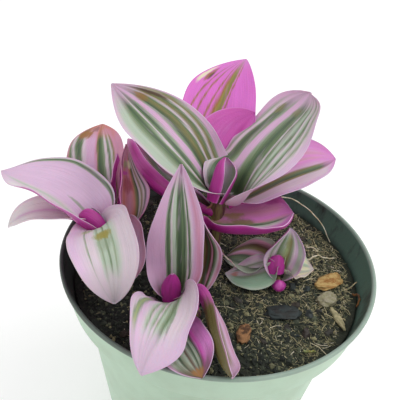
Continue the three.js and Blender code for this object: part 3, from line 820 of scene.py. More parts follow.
FRONT_LEAVES: dict[str, Blade] = {
    "upright": Blade(
        (-14, -23, 96), (90, 94, 105), (72, 74, 63), 49.5, 21.5,
        LeafFinish(
            bands((-1, T.MAUVE), (-0.5, T.MAUVE), (-0.45, T.SAGE), (-0.39, T.DEEP), (-0.32, T.LEAF),
                  (-0.27, T.PALE), (-0.2, T.MIST), (-0.12, T.MIST), (-0.07, T.LEAF), (0, T.DEEP),
                  (0.1, T.DEEP), (0.15, T.LEAF), (0.24, T.DEEP), (0.31, T.SAGE), (0.35, T.PALE),
                  (0.39, T.DEEP), (0.44, T.LEAF), (0.48, T.PALE), (0.6, T.MAUVE), (0.8, T.ROSE),
                  (1, T.MAUVE)),
            tip=T.MAUVE, foot=T.LEAF, foot_share=0.4, slant=-0.45, seed=21.0,
            marks=(Mark(0.05, 0.97, 0.3, 0.05, T.PLUM, 0.6),),
        ),
        roll=(13, 4), cup=(28, 35), tip_cup=41, widest=0.32, full=1.1, foot=0.45, clasp=170, neck=0.1,
    ),
    "over_rim": Blade(
        (-12.9, -27, 95.3), (-106, -88, -122), (61, 24, -61), 47.4, 22.4,
        LeafFinish(
            bands((-1, T.LILAC), (-0.8, T.PALE), (-0.36, T.PALE), (-0.29, T.MIST), (-0.2, T.LEAF),
                  (-0.13, T.SAGE), (-0.05, T.MIST), (0.01, T.SAGE), (0.06, T.PALE), (0.1, T.SAGE),
                  (0.15, T.MIST), (0.22, T.PALE), (0.27, T.SAGE), (0.32, T.MIST), (0.4, T.PALE),
                  (0.55, T.LILAC), (0.64, T.SAGE), (0.7, T.LIME), (0.76, T.SAGE), (0.82, T.PALE),
                  (1, T.LILAC)),
            # The brown at its foot is painted shadow under the cup rim.
            tip=T.LILAC, foot=T.BROWN, foot_share=0.8, tip_from=0.74, slant=0.66, seed=22.0,
            marks=(Mark(0.12, 0.3, 0.1, 0.14, T.LEAF, 0.7), Mark(-0.24, 0.62, 0.06, 0.16, T.LEAF, 0.6)),
        ),
        roll=(-35, 35), cup=(90, 54), tip_cup=1, hold=0.15, widest=0.43, full=1.6, foot=0.6, clasp=80,
        waves=0.5, phase=0.2,
        bulges=((1, 0.3, 0.12, -0.12), (-1, 0.5, 0.1, 0.05), (-1, 0.7, 0.08, -0.18)),
    ),
    "side": Blade(
        (-6, -24.8, 97), (102, 104, 90), (33, 76, 78), 35.9, 21,
        LeafFinish(
            bands((-1, T.MIST), (-0.7, T.SAGE), (-0.4, T.LEAF), (0, T.PALE), (0.2, T.LEAF),
                  (0.36, T.OLIVE), (0.42, T.BROWN), (0.5, T.DEEP), (0.58, T.BROWN), (0.63, T.ROSE),
                  (0.67, T.BROWN), (0.72, T.DEEP), (0.78, T.SAGE), (0.84, T.PALE), (0.9, T.ROSE),
                  (1, T.ROSE)),
            tip=T.MAUVE, foot=T.DEEP, slant=0.1, seed=23.0,
        ),
        roll=(2, 33), cup=(2, 14), tip_cup=39, hold=0.16, widest=0.52, full=1, foot=0.3, clasp=101,
    ),
    "folded": Blade(
        (-8.5, -30, 97.5), (-119, -69, -57), (14, 24, -19), 36.3, 16.4,
        LeafFinish(
            bands((-1, T.ORCHID), (-0.6, T.ORCHID), (-0.42, T.FUCHSIA), (-0.3, T.DEEP),
                  (-0.2, T.MIST), (-0.12, T.DEEP), (0, T.MIST), (0.1, T.BROWN), (0.2, T.MIST),
                  (0.34, T.SAGE), (0.42, T.DEEP), (0.5, T.MIST), (0.65, T.SAGE), (0.8, T.MIST),
                  (1, T.MAUVE)),
            under=T.ORCHID, tip=T.BROWN, foot=T.MAGENTA, seed=24.0,
            marks=(Mark(0.1, 0.96, 0.6, 0.05, T.OCHRE),),
        ),
        roll=(-18, -17), cup=(25, 26), tip_cup=40, hold=0.12, widest=0.6, full=2.2, foot=0.5, clasp=120,
    ),
    "folded_right": Blade(
        (-6, -29, 96.5), (-29, -71, -48), (118, -2, 16), 44, 12,
        LeafFinish(
            bands((-1, T.ROSE), (-0.8, T.MAUVE), (-0.6, T.OLIVE), (-0.4, T.BROWN), (-0.1, T.OLIVE),
                  (0.15, T.MOSS), (0.35, T.BROWN), (0.55, T.OLIVE), (0.75, T.ROSE), (1, T.MAUVE)),
            under=T.KHAKI, sheath=T.FUCHSIA, sheath_end=0.6, tip=T.MAUVE, foot=T.MAGENTA, seed=25.0,
            marks=(Mark(0.0, 0.85, 0.6, 0.08, T.OLIVE, 0.5),),
        ),
        roll=(49, 49), cup=(33, 135), tip_cup=75, hold=0.12, widest=0.73, full=2.9, clasp=120,
    ),
    "young": rolled((-13.4, -28, 98.4), 110, (80, 78, 74), 12, 17, 180,
                    tip_cup=150, widest=0.2, full=1.2, foot=0.9),
}

SMALL_LEAVES: dict[str, Blade] = {
    "cup": Blade(
        (24.6, -2.8, 97.3), (70, 59, 91), (108, 69, 58), 19.3, 18.8,
        LeafFinish(
            bands((-1, T.LILAC), (-0.7, T.PALE), (-0.5, T.SAGE), (-0.35, T.PALE), (-0.2, T.LEAF),
                  (-0.05, T.SAGE), (0.1, T.LIME), (0.22, T.OLIVE), (0.34, T.SAGE), (0.42, T.PALE),
                  (0.55, T.LILAC), (0.65, T.MIST), (0.8, T.MIST), (1, T.LILAC)),
            sheath=T.MIST, tip=T.LILAC, foot=T.SAGE, seed=31.0,
            marks=(Mark(0.15, 0.7, 0.16, 0.12, T.OLIVE, 0.6),),
        ),
        roll=(-30, -36), cup=(73, 71), tip_cup=79, hold=0.19, widest=0.4, full=1.12, foot=0.57,
        clasp=170, neck=0.1, waves=0.3,
    ),
    "left": Blade(
        (22.8, -5, 102), (208, 182, 165), (-19, -23, -1), 20.5, 13.5,
        LeafFinish(
            bands((-1, T.MIST), (-0.8, T.JADE), (-0.3, T.JADE), (-0.12, T.SAGE), (0.05, T.PALE),
                  (0.3, T.PALE), (0.5, T.SAGE), (0.6, T.PALE), (1, T.MAUVE)),
            margin=T.MIST, tip=T.PALE, foot=T.LEAF, seed=32.0,
            marks=(Mark(0.1, 0.82, 0.25, 0.08, T.SALMON, 0.8),),
        ),
        roll=(35, 18), cup=(11, 15), tip_cup=27, hold=0.11, widest=0.34, full=1.3, waves=0.3,
    ),
    "left_behind": Blade(
        (22.8, -2.6, 100.2), (157, 164, 172), (16, -20, -17), 22, 18.5,
        LeafFinish(
            bands((-1, T.MIST), (-0.75, T.SAGE), (-0.5, T.DEEP), (-0.1, T.LEAF), (0.08, T.DEEP),
                  (0.2, T.ROSE), (0.35, T.MAUVE), (0.5, T.OLIVE), (0.7, T.BROWN), (0.9, T.ROSE), (1, T.MIST)),
            sheath=T.MIST, margin=T.MIST, tip=T.UMBER, foot=T.SALMON, slant=0.6, seed=33.0,
        ),
        roll=(23, -1), cup=(25, 23), tip_cup=24, hold=0.16, widest=0.34, full=1.2, waves=0.4,
    ),
    "right": Blade(
        (26, -4.5, 99.5), (26, 5, 7), (18, 2, 9), 12, 13.5,
        LeafFinish(
            bands((-1, T.MIST), (-0.6, T.CREAM), (-0.3, T.JADE), (0, T.CREAM), (0.3, T.MIST),
                  (0.5, T.CREAM), (1, T.PALE)),
            sheath=T.MIST, margin=T.CREAM, tip=T.PALE, foot=T.LIME, seed=34.0,
        ),
        roll=(-30, 6), cup=(50, 50), tip_cup=49, hold=0.17, widest=0.36, full=1.7, waves=0.3,
    ),
    "young": rolled((23.6, -8.2, 100.4), 105, (64, 62, 60), 7.5, 17.5, 180,
                    tip_cup=150, widest=0.3, full=1.4, foot=0.85),
}


def catmull(points: list[tuple[float, float, float]], steps: int) -> np.ndarray:
    """Draws a smooth path through points.

    Args:
        points: the places that it passes.
        steps: how many parts it has between two of them.

    Returns:
        The path's points.
    """
    p = np.array([points[0], *points, points[-1]], float)
    out = []
    for i in range(1, len(p) - 2):
        for t in np.arange(steps) / steps:
            out.append(0.5 * (2 * p[i] + (p[i + 1] - p[i - 1]) * t
                              + (2 * p[i - 1] - 5 * p[i] + 4 * p[i + 1] - p[i + 2]) * t * t
                              + (3 * p[i] - p[i - 1] - 3 * p[i + 1] + p[i + 2]) * t ** 3))
    out.append(p[-1])
    return np.array(out)


def hoops(rows: int, sides: int) -> list[tuple[int, ...]]:
    """Joins rings of points, each to the next.

    Args:
        rows: the bands between the rings, one fewer than the rings.
        sides: points in each ring.

    Returns:
        The four-sided faces.
    """
    return [(r * sides + i, r * sides + (i + 1) % sides, (r + 1) * sides + (i + 1) % sides,
             (r + 1) * sides + i) for r in range(rows) for i in range(sides)]


def lump_faces(rows: int, sides: int) -> list[tuple[int, ...]]:
    """Returns the faces of rings closed by a flat face at either end."""
    ends = [tuple(reversed(range(sides))), tuple(rows * sides + i for i in range(sides))]
    return hoops(rows, sides) + ends


def tube(path: np.ndarray, radii: np.ndarray, sides: int) -> tuple[np.ndarray, list]:
    """Sweeps a round section along a path.

    Args:
        path: the axis points.
        radii: the radius at each.
        sides: points round the section.

    Returns:
        Points and faces of the closed tube.
    """
    ahead = np.gradient(path, axis=0)
    ahead /= np.linalg.norm(ahead, axis=1)[:, None]
    side = np.cross(ahead[0], [0.31, 0.95, 0.07])
    rings = []
    for point, along, radius in zip(path, ahead, radii):
        side = side - along * side.dot(along)
        side /= np.linalg.norm(side)
        other = np.cross(along, side)
        turn = np.arange(sides) * 2 * np.pi / sides
        rings.append(point + radius * (np.cos(turn)[:, None] * side + np.sin(turn)[:, None] * other))
    points = np.vstack([*rings, path[:1] - ahead[:1] * radii[0] * 0.4,
                        path[-1:] + ahead[-1:] * radii[-1] * 0.4])
    faces = hoops(len(path) - 1, sides)
    foot, top, last = len(path) * sides, len(path) * sides + 1, (len(path) - 1) * sides
    for i in range(sides):
        j = (i + 1) % sides
        faces.append((foot, j, i))
        faces.append((top, last + i, last + j))
    return points, faces


@dataclass(frozen=True)
class StemFinish:
    """Fleshy stem skin, green and plum in long streaks."""

    light: Tone = T.OLIVE
    dark: Tone = T.WINE
    rough: float = 0.45

    def material(self, name: str) -> bpy.types.Material:
        """Makes the stem's skin, streaked along its height.

        Args:
            name: the material's name.

        Returns:
            The material.
        """
        net = Net(name, Subsurface_Weight=0.1, Subsurface_Scale=0.001)
        x, y, z = net.axes(net.place())
        streak = net.noise(net.vector(x, y, z * 0.16), 520.0, 3.0, 0.6)
        colour = net.mix(net.step(streak, 0.38, 0.64), self.light, self.dark)
        colour = net.shade(colour, net.noise(net.place(), 700.0, 2.0) * 0.2 + 0.9)
        net.finish(colour, self.rough, streak, 0.15)
        return net.material


@dataclass
class Shoot:
    """One leafy stem: its stalk and its leaves, which all stand for one solid."""

    name: str
    node: str
    path: list[tuple[float, float, float]]
    radii: tuple[float, float]
    leaves: dict[str, Blade]

    def build(self) -> None:
        """Makes the stalk and every leaf."""
        path = catmull(self.path, 12)
        share = np.linspace(0, 1, len(path))
        swell = 0.12 * np.maximum(0, np.sin(share * 3 * np.pi)) ** 6
        radii = (self.radii[0] + (self.radii[1] - self.radii[0]) * share) * (0.94 + swell)
        points, faces = tube(path, radii, 20)
        finish = StemFinish().material(self.name + "_stalk_skin")
        stalk = new_object(self.name + "_stalk", points, faces, finish)
        settle(stalk, "leaves", self.node)
        for name, blade in self.leaves.items():
            settle(blade.build(f"{self.name}_leaf_{name}"), "leaves", self.node)


@dataclass
class Bud:
    """The closed bud on the small shoot."""

    at: tuple[float, float, float] = (24.7, -9.8, 93.9)
    size: tuple[float, float, float] = (6.3, 5.8, 4.9)

    def build(self) -> None:
        """Makes a ribbed, pointed bud."""
        rows, sides = 18, 30
        points = []
        for row in range(rows + 1):
            rise = row / rows
            girth = math.sin(math.pi * min(1, rise * 0.985 + 0.015)) ** 0.72 * (1 - 0.25 * rise)
            for side in range(sides):
                turn = 2 * math.pi * side / sides + rise * 1.1
                rib = 1 + 0.1 * math.sin(3 * turn) * math.sin(math.pi * rise)
                points.append((self.at[0] + self.size[0] / 2 * girth * rib * math.cos(turn),
                               self.at[1] + self.size[1] / 2 * girth * rib * math.sin(turn),
                               self.at[2] + self.size[2] * rise))
        finish = StemFinish(T.FUCHSIA, T.MAGENTA, 0.4)
        piece = new_object("small_bud", np.array(points), lump_faces(rows, sides),
                           finish.material("small_bud_skin"))
        settle(piece, "leaves", "leafy_stem_small")
        path = catmull([(23.5, -2.6, 97.6), (24.1, -5.6, 97.4), (24.7, -9.2, 96.4)], 8)
        points, faces = tube(path, np.full(len(path), 1.35), 16)
        stalk = new_object("small_bud_stalk", points, faces, StemFinish().material("small_bud_stalk_skin"))
        settle(stalk, "leaves", "leafy_stem_small")


@dataclass(frozen=True)
class PotFinish:
    """Moulded plastic, pale outside, dark and stained inside with painted shade on its left and painted light
    on its right, and a rim in painted shade.

    Lengths are in metres, as the shader reads them. flare is the collar's slope outwards.
    """

    ledge: float = 0.0907
    flare: float = 0.1888
    mid_wall: tuple[float, float] = (0.05685, 0.0565)
    inside_from: tuple[float, float] = (0.0902, 0.0908)
    # Heights over which the inside wall gets darker towards the soil.
    low_darkening: tuple[float, float] = (0.099, 0.0945)
    lip_from: tuple[float, float] = (0.1037, 0.1043)

    def material(self) -> bpy.types.Material:
        """Makes the plastic, which reads how far a point lies from the pot's axis.

        Returns:
            The material.
        """
        net = Net("pot_plastic", Coat_Weight=0.0, Specular_IOR_Level=0.4, Subsurface_Weight=0.05,
                  Subsurface_Scale=0.002)
        place = net.place()
        x, y, z = net.axes(place)
        radius = net.maths("SQRT", x * x + y * y)
        mottle = net.noise(place, 60.0, 4.0, 0.6)
        grain = net.noise(place, 900.0, 3.0, 0.6)
        outer = net.shade(net.mix(net.step(mottle, 0.35, 0.75) * 0.25, T.MINT, T.SAGE), grain * 0.08 + 0.96)
        stain = net.noise(net.vector(x, y, z * 0.35), 130.0, 5.0, 0.7)
        # Stains, thinned towards the right as painted light, so the inside is lighter on its right.
        towards_right = net.step(x, -0.05, 0.055)
        stain_and_shade = net.step(stain - towards_right * 0.16, 0.3, 0.54)
        inner = net.mix(1.0 - stain_and_shade, T.POT_DARK, T.POT_SHADE)
        # Painted shade: the inside is darker on its left.
        inner = net.mix(net.step(x, 0.0, -0.05) * 0.6, inner, T.POT_DARK)
        # Painted shade: the outside is darker across the middle of its width.
        middle = net.step(net.maths("ABSOLUTE", x + 0.006), 0.046, 0.0)
        outer = net.shade(outer, 1.02 - middle * 0.13)
        # The inside wall gets darker towards the soil.
        low = net.step(z + stain * 0.006, *self.low_darkening)
        inner = net.mix(low * 0.75, inner, T.BLACK_EARTH)
        scuff = net.step(net.noise(place, 420.0, 3.0, 0.7), 0.66, 0.74)
        inner = net.mix(scuff * 0.35, inner, T.STONE)
        inside = net.step(radius - (z - self.ledge) * self.flare, *self.mid_wall)
        above = net.step(z, *self.inside_from)
        colour = net.mix(inside * above, outer, inner)
        lip = net.step(z, *self.lip_from)
        # Painted shade: the rim is dark, darkest on the left and paler to the right, mottled by stains.
        rim_shade_and_stain = net.mix(net.step(x, -0.055, 0.035), T.RIM, T.RIM_PALE)
        rim_shade_and_stain = net.shade(rim_shade_and_stain, stain * 0.5 + 0.75)
        colour = net.mix(lip * 0.9, colour, rim_shade_and_stain)
        net.finish(colour, grain * 0.12 + mottle * 0.1 + 0.36, grain + mottle * 0.6, 0.06)
        return net.material


@dataclass
class Pot:
    """The nursery pot: a tapered wall, a step, a deep collar and a rolled rim."""

    height: float = 105
    rim: float = 60
    collar_foot: float = 57.3
    collar: float = 14.3
    wall_top: float = 52.6
    base: float = 43
    wall: float = 1.3
    lip_width: float = 1.4
    lip_height: float = 1.6
    recess: float = 2
    pad: float = 13
    sides: int = 144

    def profile(self) -> list[tuple[float, float]]:
        """Draws the section that is turned into the pot.

        Returns:
            Radius and height of its points, from the underside's middle out, up and back down inside.
        """
        foot = self.height - self.collar
        ledge = foot + self.wall
        top = self.height
        lip = top - self.lip_height
        inner = self.rim - self.lip_width
        return [
            (0, 0), (self.pad - 0.4, 0), (self.pad, 0.2), (self.pad + 1.3, self.recess - 0.2),
            (self.pad + 1.7, self.recess), (self.base - 4.2, self.recess),
            (self.base - 3.8, self.recess - 0.2),
            (self.base - 2.6, 0.2), (self.base - 2.2, 0), (self.base - 0.7, 0), (self.base - 0.15, 0.2),
            (self.base + 0.1, 0.9), (self.wall_top - 0.12, foot - 1.2), (self.wall_top + 0.1, foot - 0.25),
            (self.wall_top + 0.5, foot - 0.02), (self.collar_foot - 0.7, foot),
            (self.collar_foot - 0.15, foot + 0.2),
            (self.collar_foot + 0.07, foot + 0.8), (self.rim - 0.75, lip - 0.5), (self.rim - 0.62, lip),
            (self.rim - 0.2, lip + 0.25), (self.rim, lip + 0.6), (self.rim - 0.02, top - 0.45),
            (self.rim - 0.22, top - 0.12), (self.rim - 0.6, top), (inner + 0.5, top),
            (inner + 0.15, top - 0.15),
            (inner - 0.05, top - 0.5), (inner - 0.3, lip), (inner - 0.5, lip - 1.2),
            (self.collar_foot - self.wall + 0.05, ledge + 0.9), (self.collar_foot - self.wall - 0.5, ledge),
            (self.wall_top - self.wall, ledge), (self.wall_top - self.wall - 0.15, ledge - 0.8),
            (self.base - self.wall, 4.0), (self.base - self.wall - 0.8, 3.2), (0, 3.2),
        ]

    def build(self) -> None:
        """Turns the section about the axis."""
        profile = self.profile()
        points, faces = lathe(profile, self.sides)
        piece = new_object("nursery_pot", points, faces, PotFinish().material())
        piece.data.set_sharp_from_angle(angle=math.radians(50))
        settle(piece, "pot", "pot")


def lathe(profile: list[tuple[float, float]], sides: int) -> tuple[np.ndarray, list]:
    """Turns a section that starts and ends on the axis.

    Args:
        profile: radius and height pairs.
        sides: points round the axis.

    Returns:
        Points and faces of the closed solid.
    """
    inner = profile[1:-1]
    turn = np.arange(sides) * 2 * np.pi / sides
    rings = [np.stack([r * np.cos(turn), r * np.sin(turn), 0 * turn + z], -1) for r, z in inner]
    points = np.vstack([*rings, [[0, 0, profile[0][1]]], [[0, 0, profile[-1][1]]]])
    faces = hoops(len(inner) - 1, sides)
    first, last = len(inner) * sides, len(inner) * sides + 1
    end = (len(inner) - 1) * sides
    for i in range(sides):
        j = (i + 1) % sides
        faces.append((first, j, i))
        faces.append((last, end + i, end + j))
    return points, faces


class Scatter(Tree):
    """A geometry tree that strews one small shape over a surface, at random but always alike."""

    def __init__(self, name: str, sizes: dict[str, tuple[str, object]]) -> None:
        """Opens the tree.

        Args:
            name: the tree's name.
            sizes: the named inputs, each with its socket type and its value.
        """
        group = bpy.data.node_groups.new(name, "GeometryNodeTree")
        super().__init__(group)
        group.interface.new_socket("Geometry", in_out="OUTPUT", socket_type="NodeSocketGeometry")
        group.interface.new_socket("Surface", in_out="INPUT", socket_type="NodeSocketGeometry")
        self.values = {}
        for label, (kind, value) in sizes.items():
            socket = group.interface.new_socket(label, in_out="INPUT", socket_type="NodeSocket" + kind)
            self.values[socket.identifier] = value
        self.inputs = self.node("NodeGroupInput").outputs

    def random(self, kind: str, low: object, high: object, seed: int) -> bpy.types.NodeSocket:
        """Returns a random value for each point.

        Args:
            kind: FLOAT or FLOAT_VECTOR.
            low: the smallest.
            high: the largest.
            seed: what tells it from the tree's other random values.

        Returns:
            The value's socket.
        """
        node = self.node("FunctionNodeRandomValue", {"data_type": kind})
        pairs = [socket for socket in node.inputs if socket.name in ("Min", "Max") and socket.enabled]
        for socket, value in zip(pairs, (low, high)):
            if isinstance(value, bpy.types.NodeSocket):
                self.tree.links.new(value, socket)
            else:
                socket.default_value = value
        node.inputs["Seed"].default_value = seed
        return next(socket for socket in node.outputs if socket.enabled)

    def thinned(self, axis: tuple[float, float, float]) -> bpy.types.NodeSocket:
        """Returns the density, which falls off to nearly nothing against an axis.

        Args:
            axis: which way it grows; its length is the share gained per metre.

        Returns:
            The density at each place.
        """
        at = self.node("GeometryNodeInputPosition").outputs[0]
        dot = self.node("ShaderNodeVectorMath", {"operation": "DOT_PRODUCT"}, {0: at, 1: axis})
        along = dot.outputs["Value"]
        lumpy = self.node("ShaderNodeTexNoise", {}, {"Vector": at, "Scale": 55.0, "Detail": 2.0}).outputs[0]
        total = self.node("ShaderNodeMath", {"operation": "ADD"}, {0: along, 1: lumpy}).outputs[0]
        ends = {"Value": total, "From Min": 0.28, "From Max": 0.95, "To Min": 0.03, "To Max": 1.0}
        share = self.node("ShaderNodeMapRange", {"interpolation_type": "SMOOTHSTEP"}, ends).outputs[0]
        values = {0: share, 1: self.inputs["Density"]}
        return self.node("ShaderNodeMath", {"operation": "MULTIPLY"}, values).outputs[0]

    def strew(self, shape: bpy.types.NodeSocket, tilt: float, seed: int,
              axis: tuple[float, float, float] | None) -> None:
        """Sets the shape on random points and closes the tree.

        Args:
            shape: the small mesh.
            tilt: how far it may lean, in degrees.
            seed: the seed of its places.
            axis: which way the pieces lie denser, or None for an even bed.
        """
        density = self.thinned(axis) if axis else self.inputs["Density"]
        places = {"Mesh": self.inputs["Surface"], "Density": density, "Seed": seed}
        points = self.node("GeometryNodeDistributePointsOnFaces", {}, places).outputs["Points"]
        lean = math.radians(tilt)
        turn = self.random("FLOAT_VECTOR", (-lean, -lean, 0.0), (lean, lean, 6.283), seed + 1)
        grow = self.random("FLOAT", self.inputs["Smallest"], self.inputs["Largest"], seed + 2)
        stretch = self.random("FLOAT_VECTOR", (0.6, 0.6, 0.45), (1.25, 1.25, 1.0), seed + 3)
        sized = self.node("ShaderNodeVectorMath", {"operation": "SCALE"}, {0: stretch, "Scale": grow})
        scale = sized.outputs[0]
        values = {"Points": points, "Instance": shape, "Rotation": turn, "Scale": scale}
        strewn = self.node("GeometryNodeInstanceOnPoints", {}, values).outputs[0]
        tone = self.random("FLOAT", 0.0, 1.0, seed + 4)
        stored = self.node("GeometryNodeStoreNamedAttribute", {"data_type": "FLOAT", "domain": "INSTANCE"},
                           {"Geometry": strewn, "Name": "tone", "Value": tone}).outputs[0]
        real = self.node("GeometryNodeRealizeInstances", {}, {0: stored}).outputs[0]
        values = {"Geometry": real, "Material": self.inputs["Finish"]}
        dressed = self.node("GeometryNodeSetMaterial", {}, values)
        self.node("NodeGroupOutput", {}, {0: dressed.outputs[0]})

    def crumb(self, fineness: int) -> bpy.types.NodeSocket:
        """Makes a dented lump.

        Args:
            fineness: how often the ball's faces are split.

        Returns:
            The lump's mesh.
        """
        values = {"Radius": 0.5, "Subdivisions": fineness}
        ball = self.node("GeometryNodeMeshIcoSphere", {}, values).outputs[0]
        at = self.node("GeometryNodeInputPosition").outputs[0]
        dent = self.node("ShaderNodeTexNoise", {}, {"Vector": at, "Scale": 2.6, "Detail": 2.0}).outputs[1]
        move = self.node("ShaderNodeVectorMath", {"operation": "SUBTRACT"}, {0: dent, 1: (0.5, 0.5, 0.5)})
        scaled = {0: move.outputs[0], "Scale": 0.8}
        more = self.node("ShaderNodeVectorMath", {"operation": "SCALE"}, scaled).outputs[0]
        return self.node("GeometryNodeSetPosition", {}, {"Geometry": ball, "Offset": more}).outputs[0]

    def fibre(self, bend: float, thin: float) -> bpy.types.NodeSocket:
        """Returns a closed bent fibre one unit long.

        Args:
            bend: how far its middle bows out.
            thin: its radius.

        Returns:
            The fibre's mesh.
        """
        ends = {"Resolution": 3, "Start": (-0.5, 0, 0), "Middle": (0.0, bend, bend * 0.5),
                "End": (0.5, 0, 0.1 * bend)}
        arc = self.node("GeometryNodeCurveQuadraticBezier", {}, ends).outputs[0]
        ring = self.node("GeometryNodeCurvePrimitiveCircle", {}, {"Resolution": 3, "Radius": thin}).outputs[0]
        swept = {"Curve": arc, "Profile Curve": ring, "Fill Caps": True}
        return self.node("GeometryNodeCurveToMesh", {}, swept).outputs[0]

    def apply(self, host: bpy.types.Object, name: str) -> bpy.types.Object:
        """Runs the tree on a surface.

        Args:
            host: the surface.
            name: the new piece's name.

        Returns:
            A plain mesh object with what was strewn.
        """
        modifier = host.modifiers.new(name, "NODES")
        modifier.node_group = self.tree
        for identifier, value in self.values.items():
            modifier[identifier] = value
        bpy.context.view_layer.update()
        graph = bpy.context.evaluated_depsgraph_get()
        mesh = bpy.data.meshes.new_from_object(host.evaluated_get(graph))
        host.modifiers.remove(modifier)
        mesh.name = name
        piece = bpy.data.objects.new(name, mesh)
        bpy.context.scene.collection.objects.link(piece)
        return piece


@dataclass(frozen=True)
class GritFinish:
    """Crumbs or fibres, each of its own tone out of a short range."""

    name: str
    tones: tuple[tuple[float, Tone], ...]
    rough: float = 0.9

    def material(self) -> bpy.types.Material:
        """Makes the finish, which reads each piece's "tone" attribute.

        Returns:
            The material.
        """
        net = Net(self.name)
        place = net.place()
        colour = net.ramp(net.attribute("tone"), list(self.tones))
        speck = net.noise(place, 1400.0, 3.0, 0.7)
        # Painted light: the crumbs and fibres are lighter to the right.
        lit_right = net.step(net.axes(place)[0], -0.02, 0.045)
        net.finish(net.shade(colour, speck * 0.9 + 0.55 + lit_right * 0.35), self.rough, speck, 0.15)
        return net.material


@dataclass(frozen=True)
class EarthFinish:
    """The moist mix between its crumbs."""

    def material(self) -> bpy.types.Material:
        """Makes the dark earth, with painted light that makes it lighter to the right.

        Returns:
            The material.
        """
        net = Net("potting_mix", Specular_IOR_Level=0.35)
        place = net.place()
        patch = net.noise(place, 70.0, 5.0, 0.65)
        fine = net.noise(place, 900.0, 4.0, 0.7)
        colour = net.mix(net.step(patch, 0.38, 0.68), T.BLACK_EARTH, T.EARTH)
        colour = net.mix(net.step(fine, 0.5, 0.66) * 0.6, colour, T.LOAM)
        # Painted light: the earth is lighter to the right.
        colour = net.mix(net.step(net.axes(place)[0], -0.02, 0.04) * 0.4, colour, T.LOAM)
        net.finish(colour, patch * 0.3 + 0.65, fine + patch * 0.4, 0.8)
        return net.material


@dataclass(frozen=True)
class Bed:
    """One kind of bit strewn on the mix: pieces to the square metre, and their sizes in millimetres.

    bend is how far a fibre bows and thin its radius, both as shares of its length. A bed without a
    bend is of crumbs, as fine as fineness says.
    """

    name: str
    density: float
    smallest: float
    largest: float
    finish: GritFinish
    seed: int
    fineness: int = 1
    bend: float = 0.0
    thin: float = 0.04

    def strew(self, host: bpy.types.Object, lit_right: tuple[float, float, float]) -> None:
        """Strews the bed.

        Args:
            host: the surface.
            lit_right: which way fibres lie denser.
        """
        tree = Scatter(self.name, {
            "Density": ("Float", self.density), "Smallest": ("Float", self.smallest * MM),
            "Largest": ("Float", self.largest * MM), "Finish": ("Material", self.finish.material()),
        })
        if self.bend:
            tree.strew(tree.fibre(self.bend, self.thin), tilt=22.0, seed=self.seed, axis=lit_right)
        else:
            tree.strew(tree.crumb(self.fineness), tilt=40.0, seed=self.seed, axis=None)
        settle(tree.apply(host, self.name), "soil")


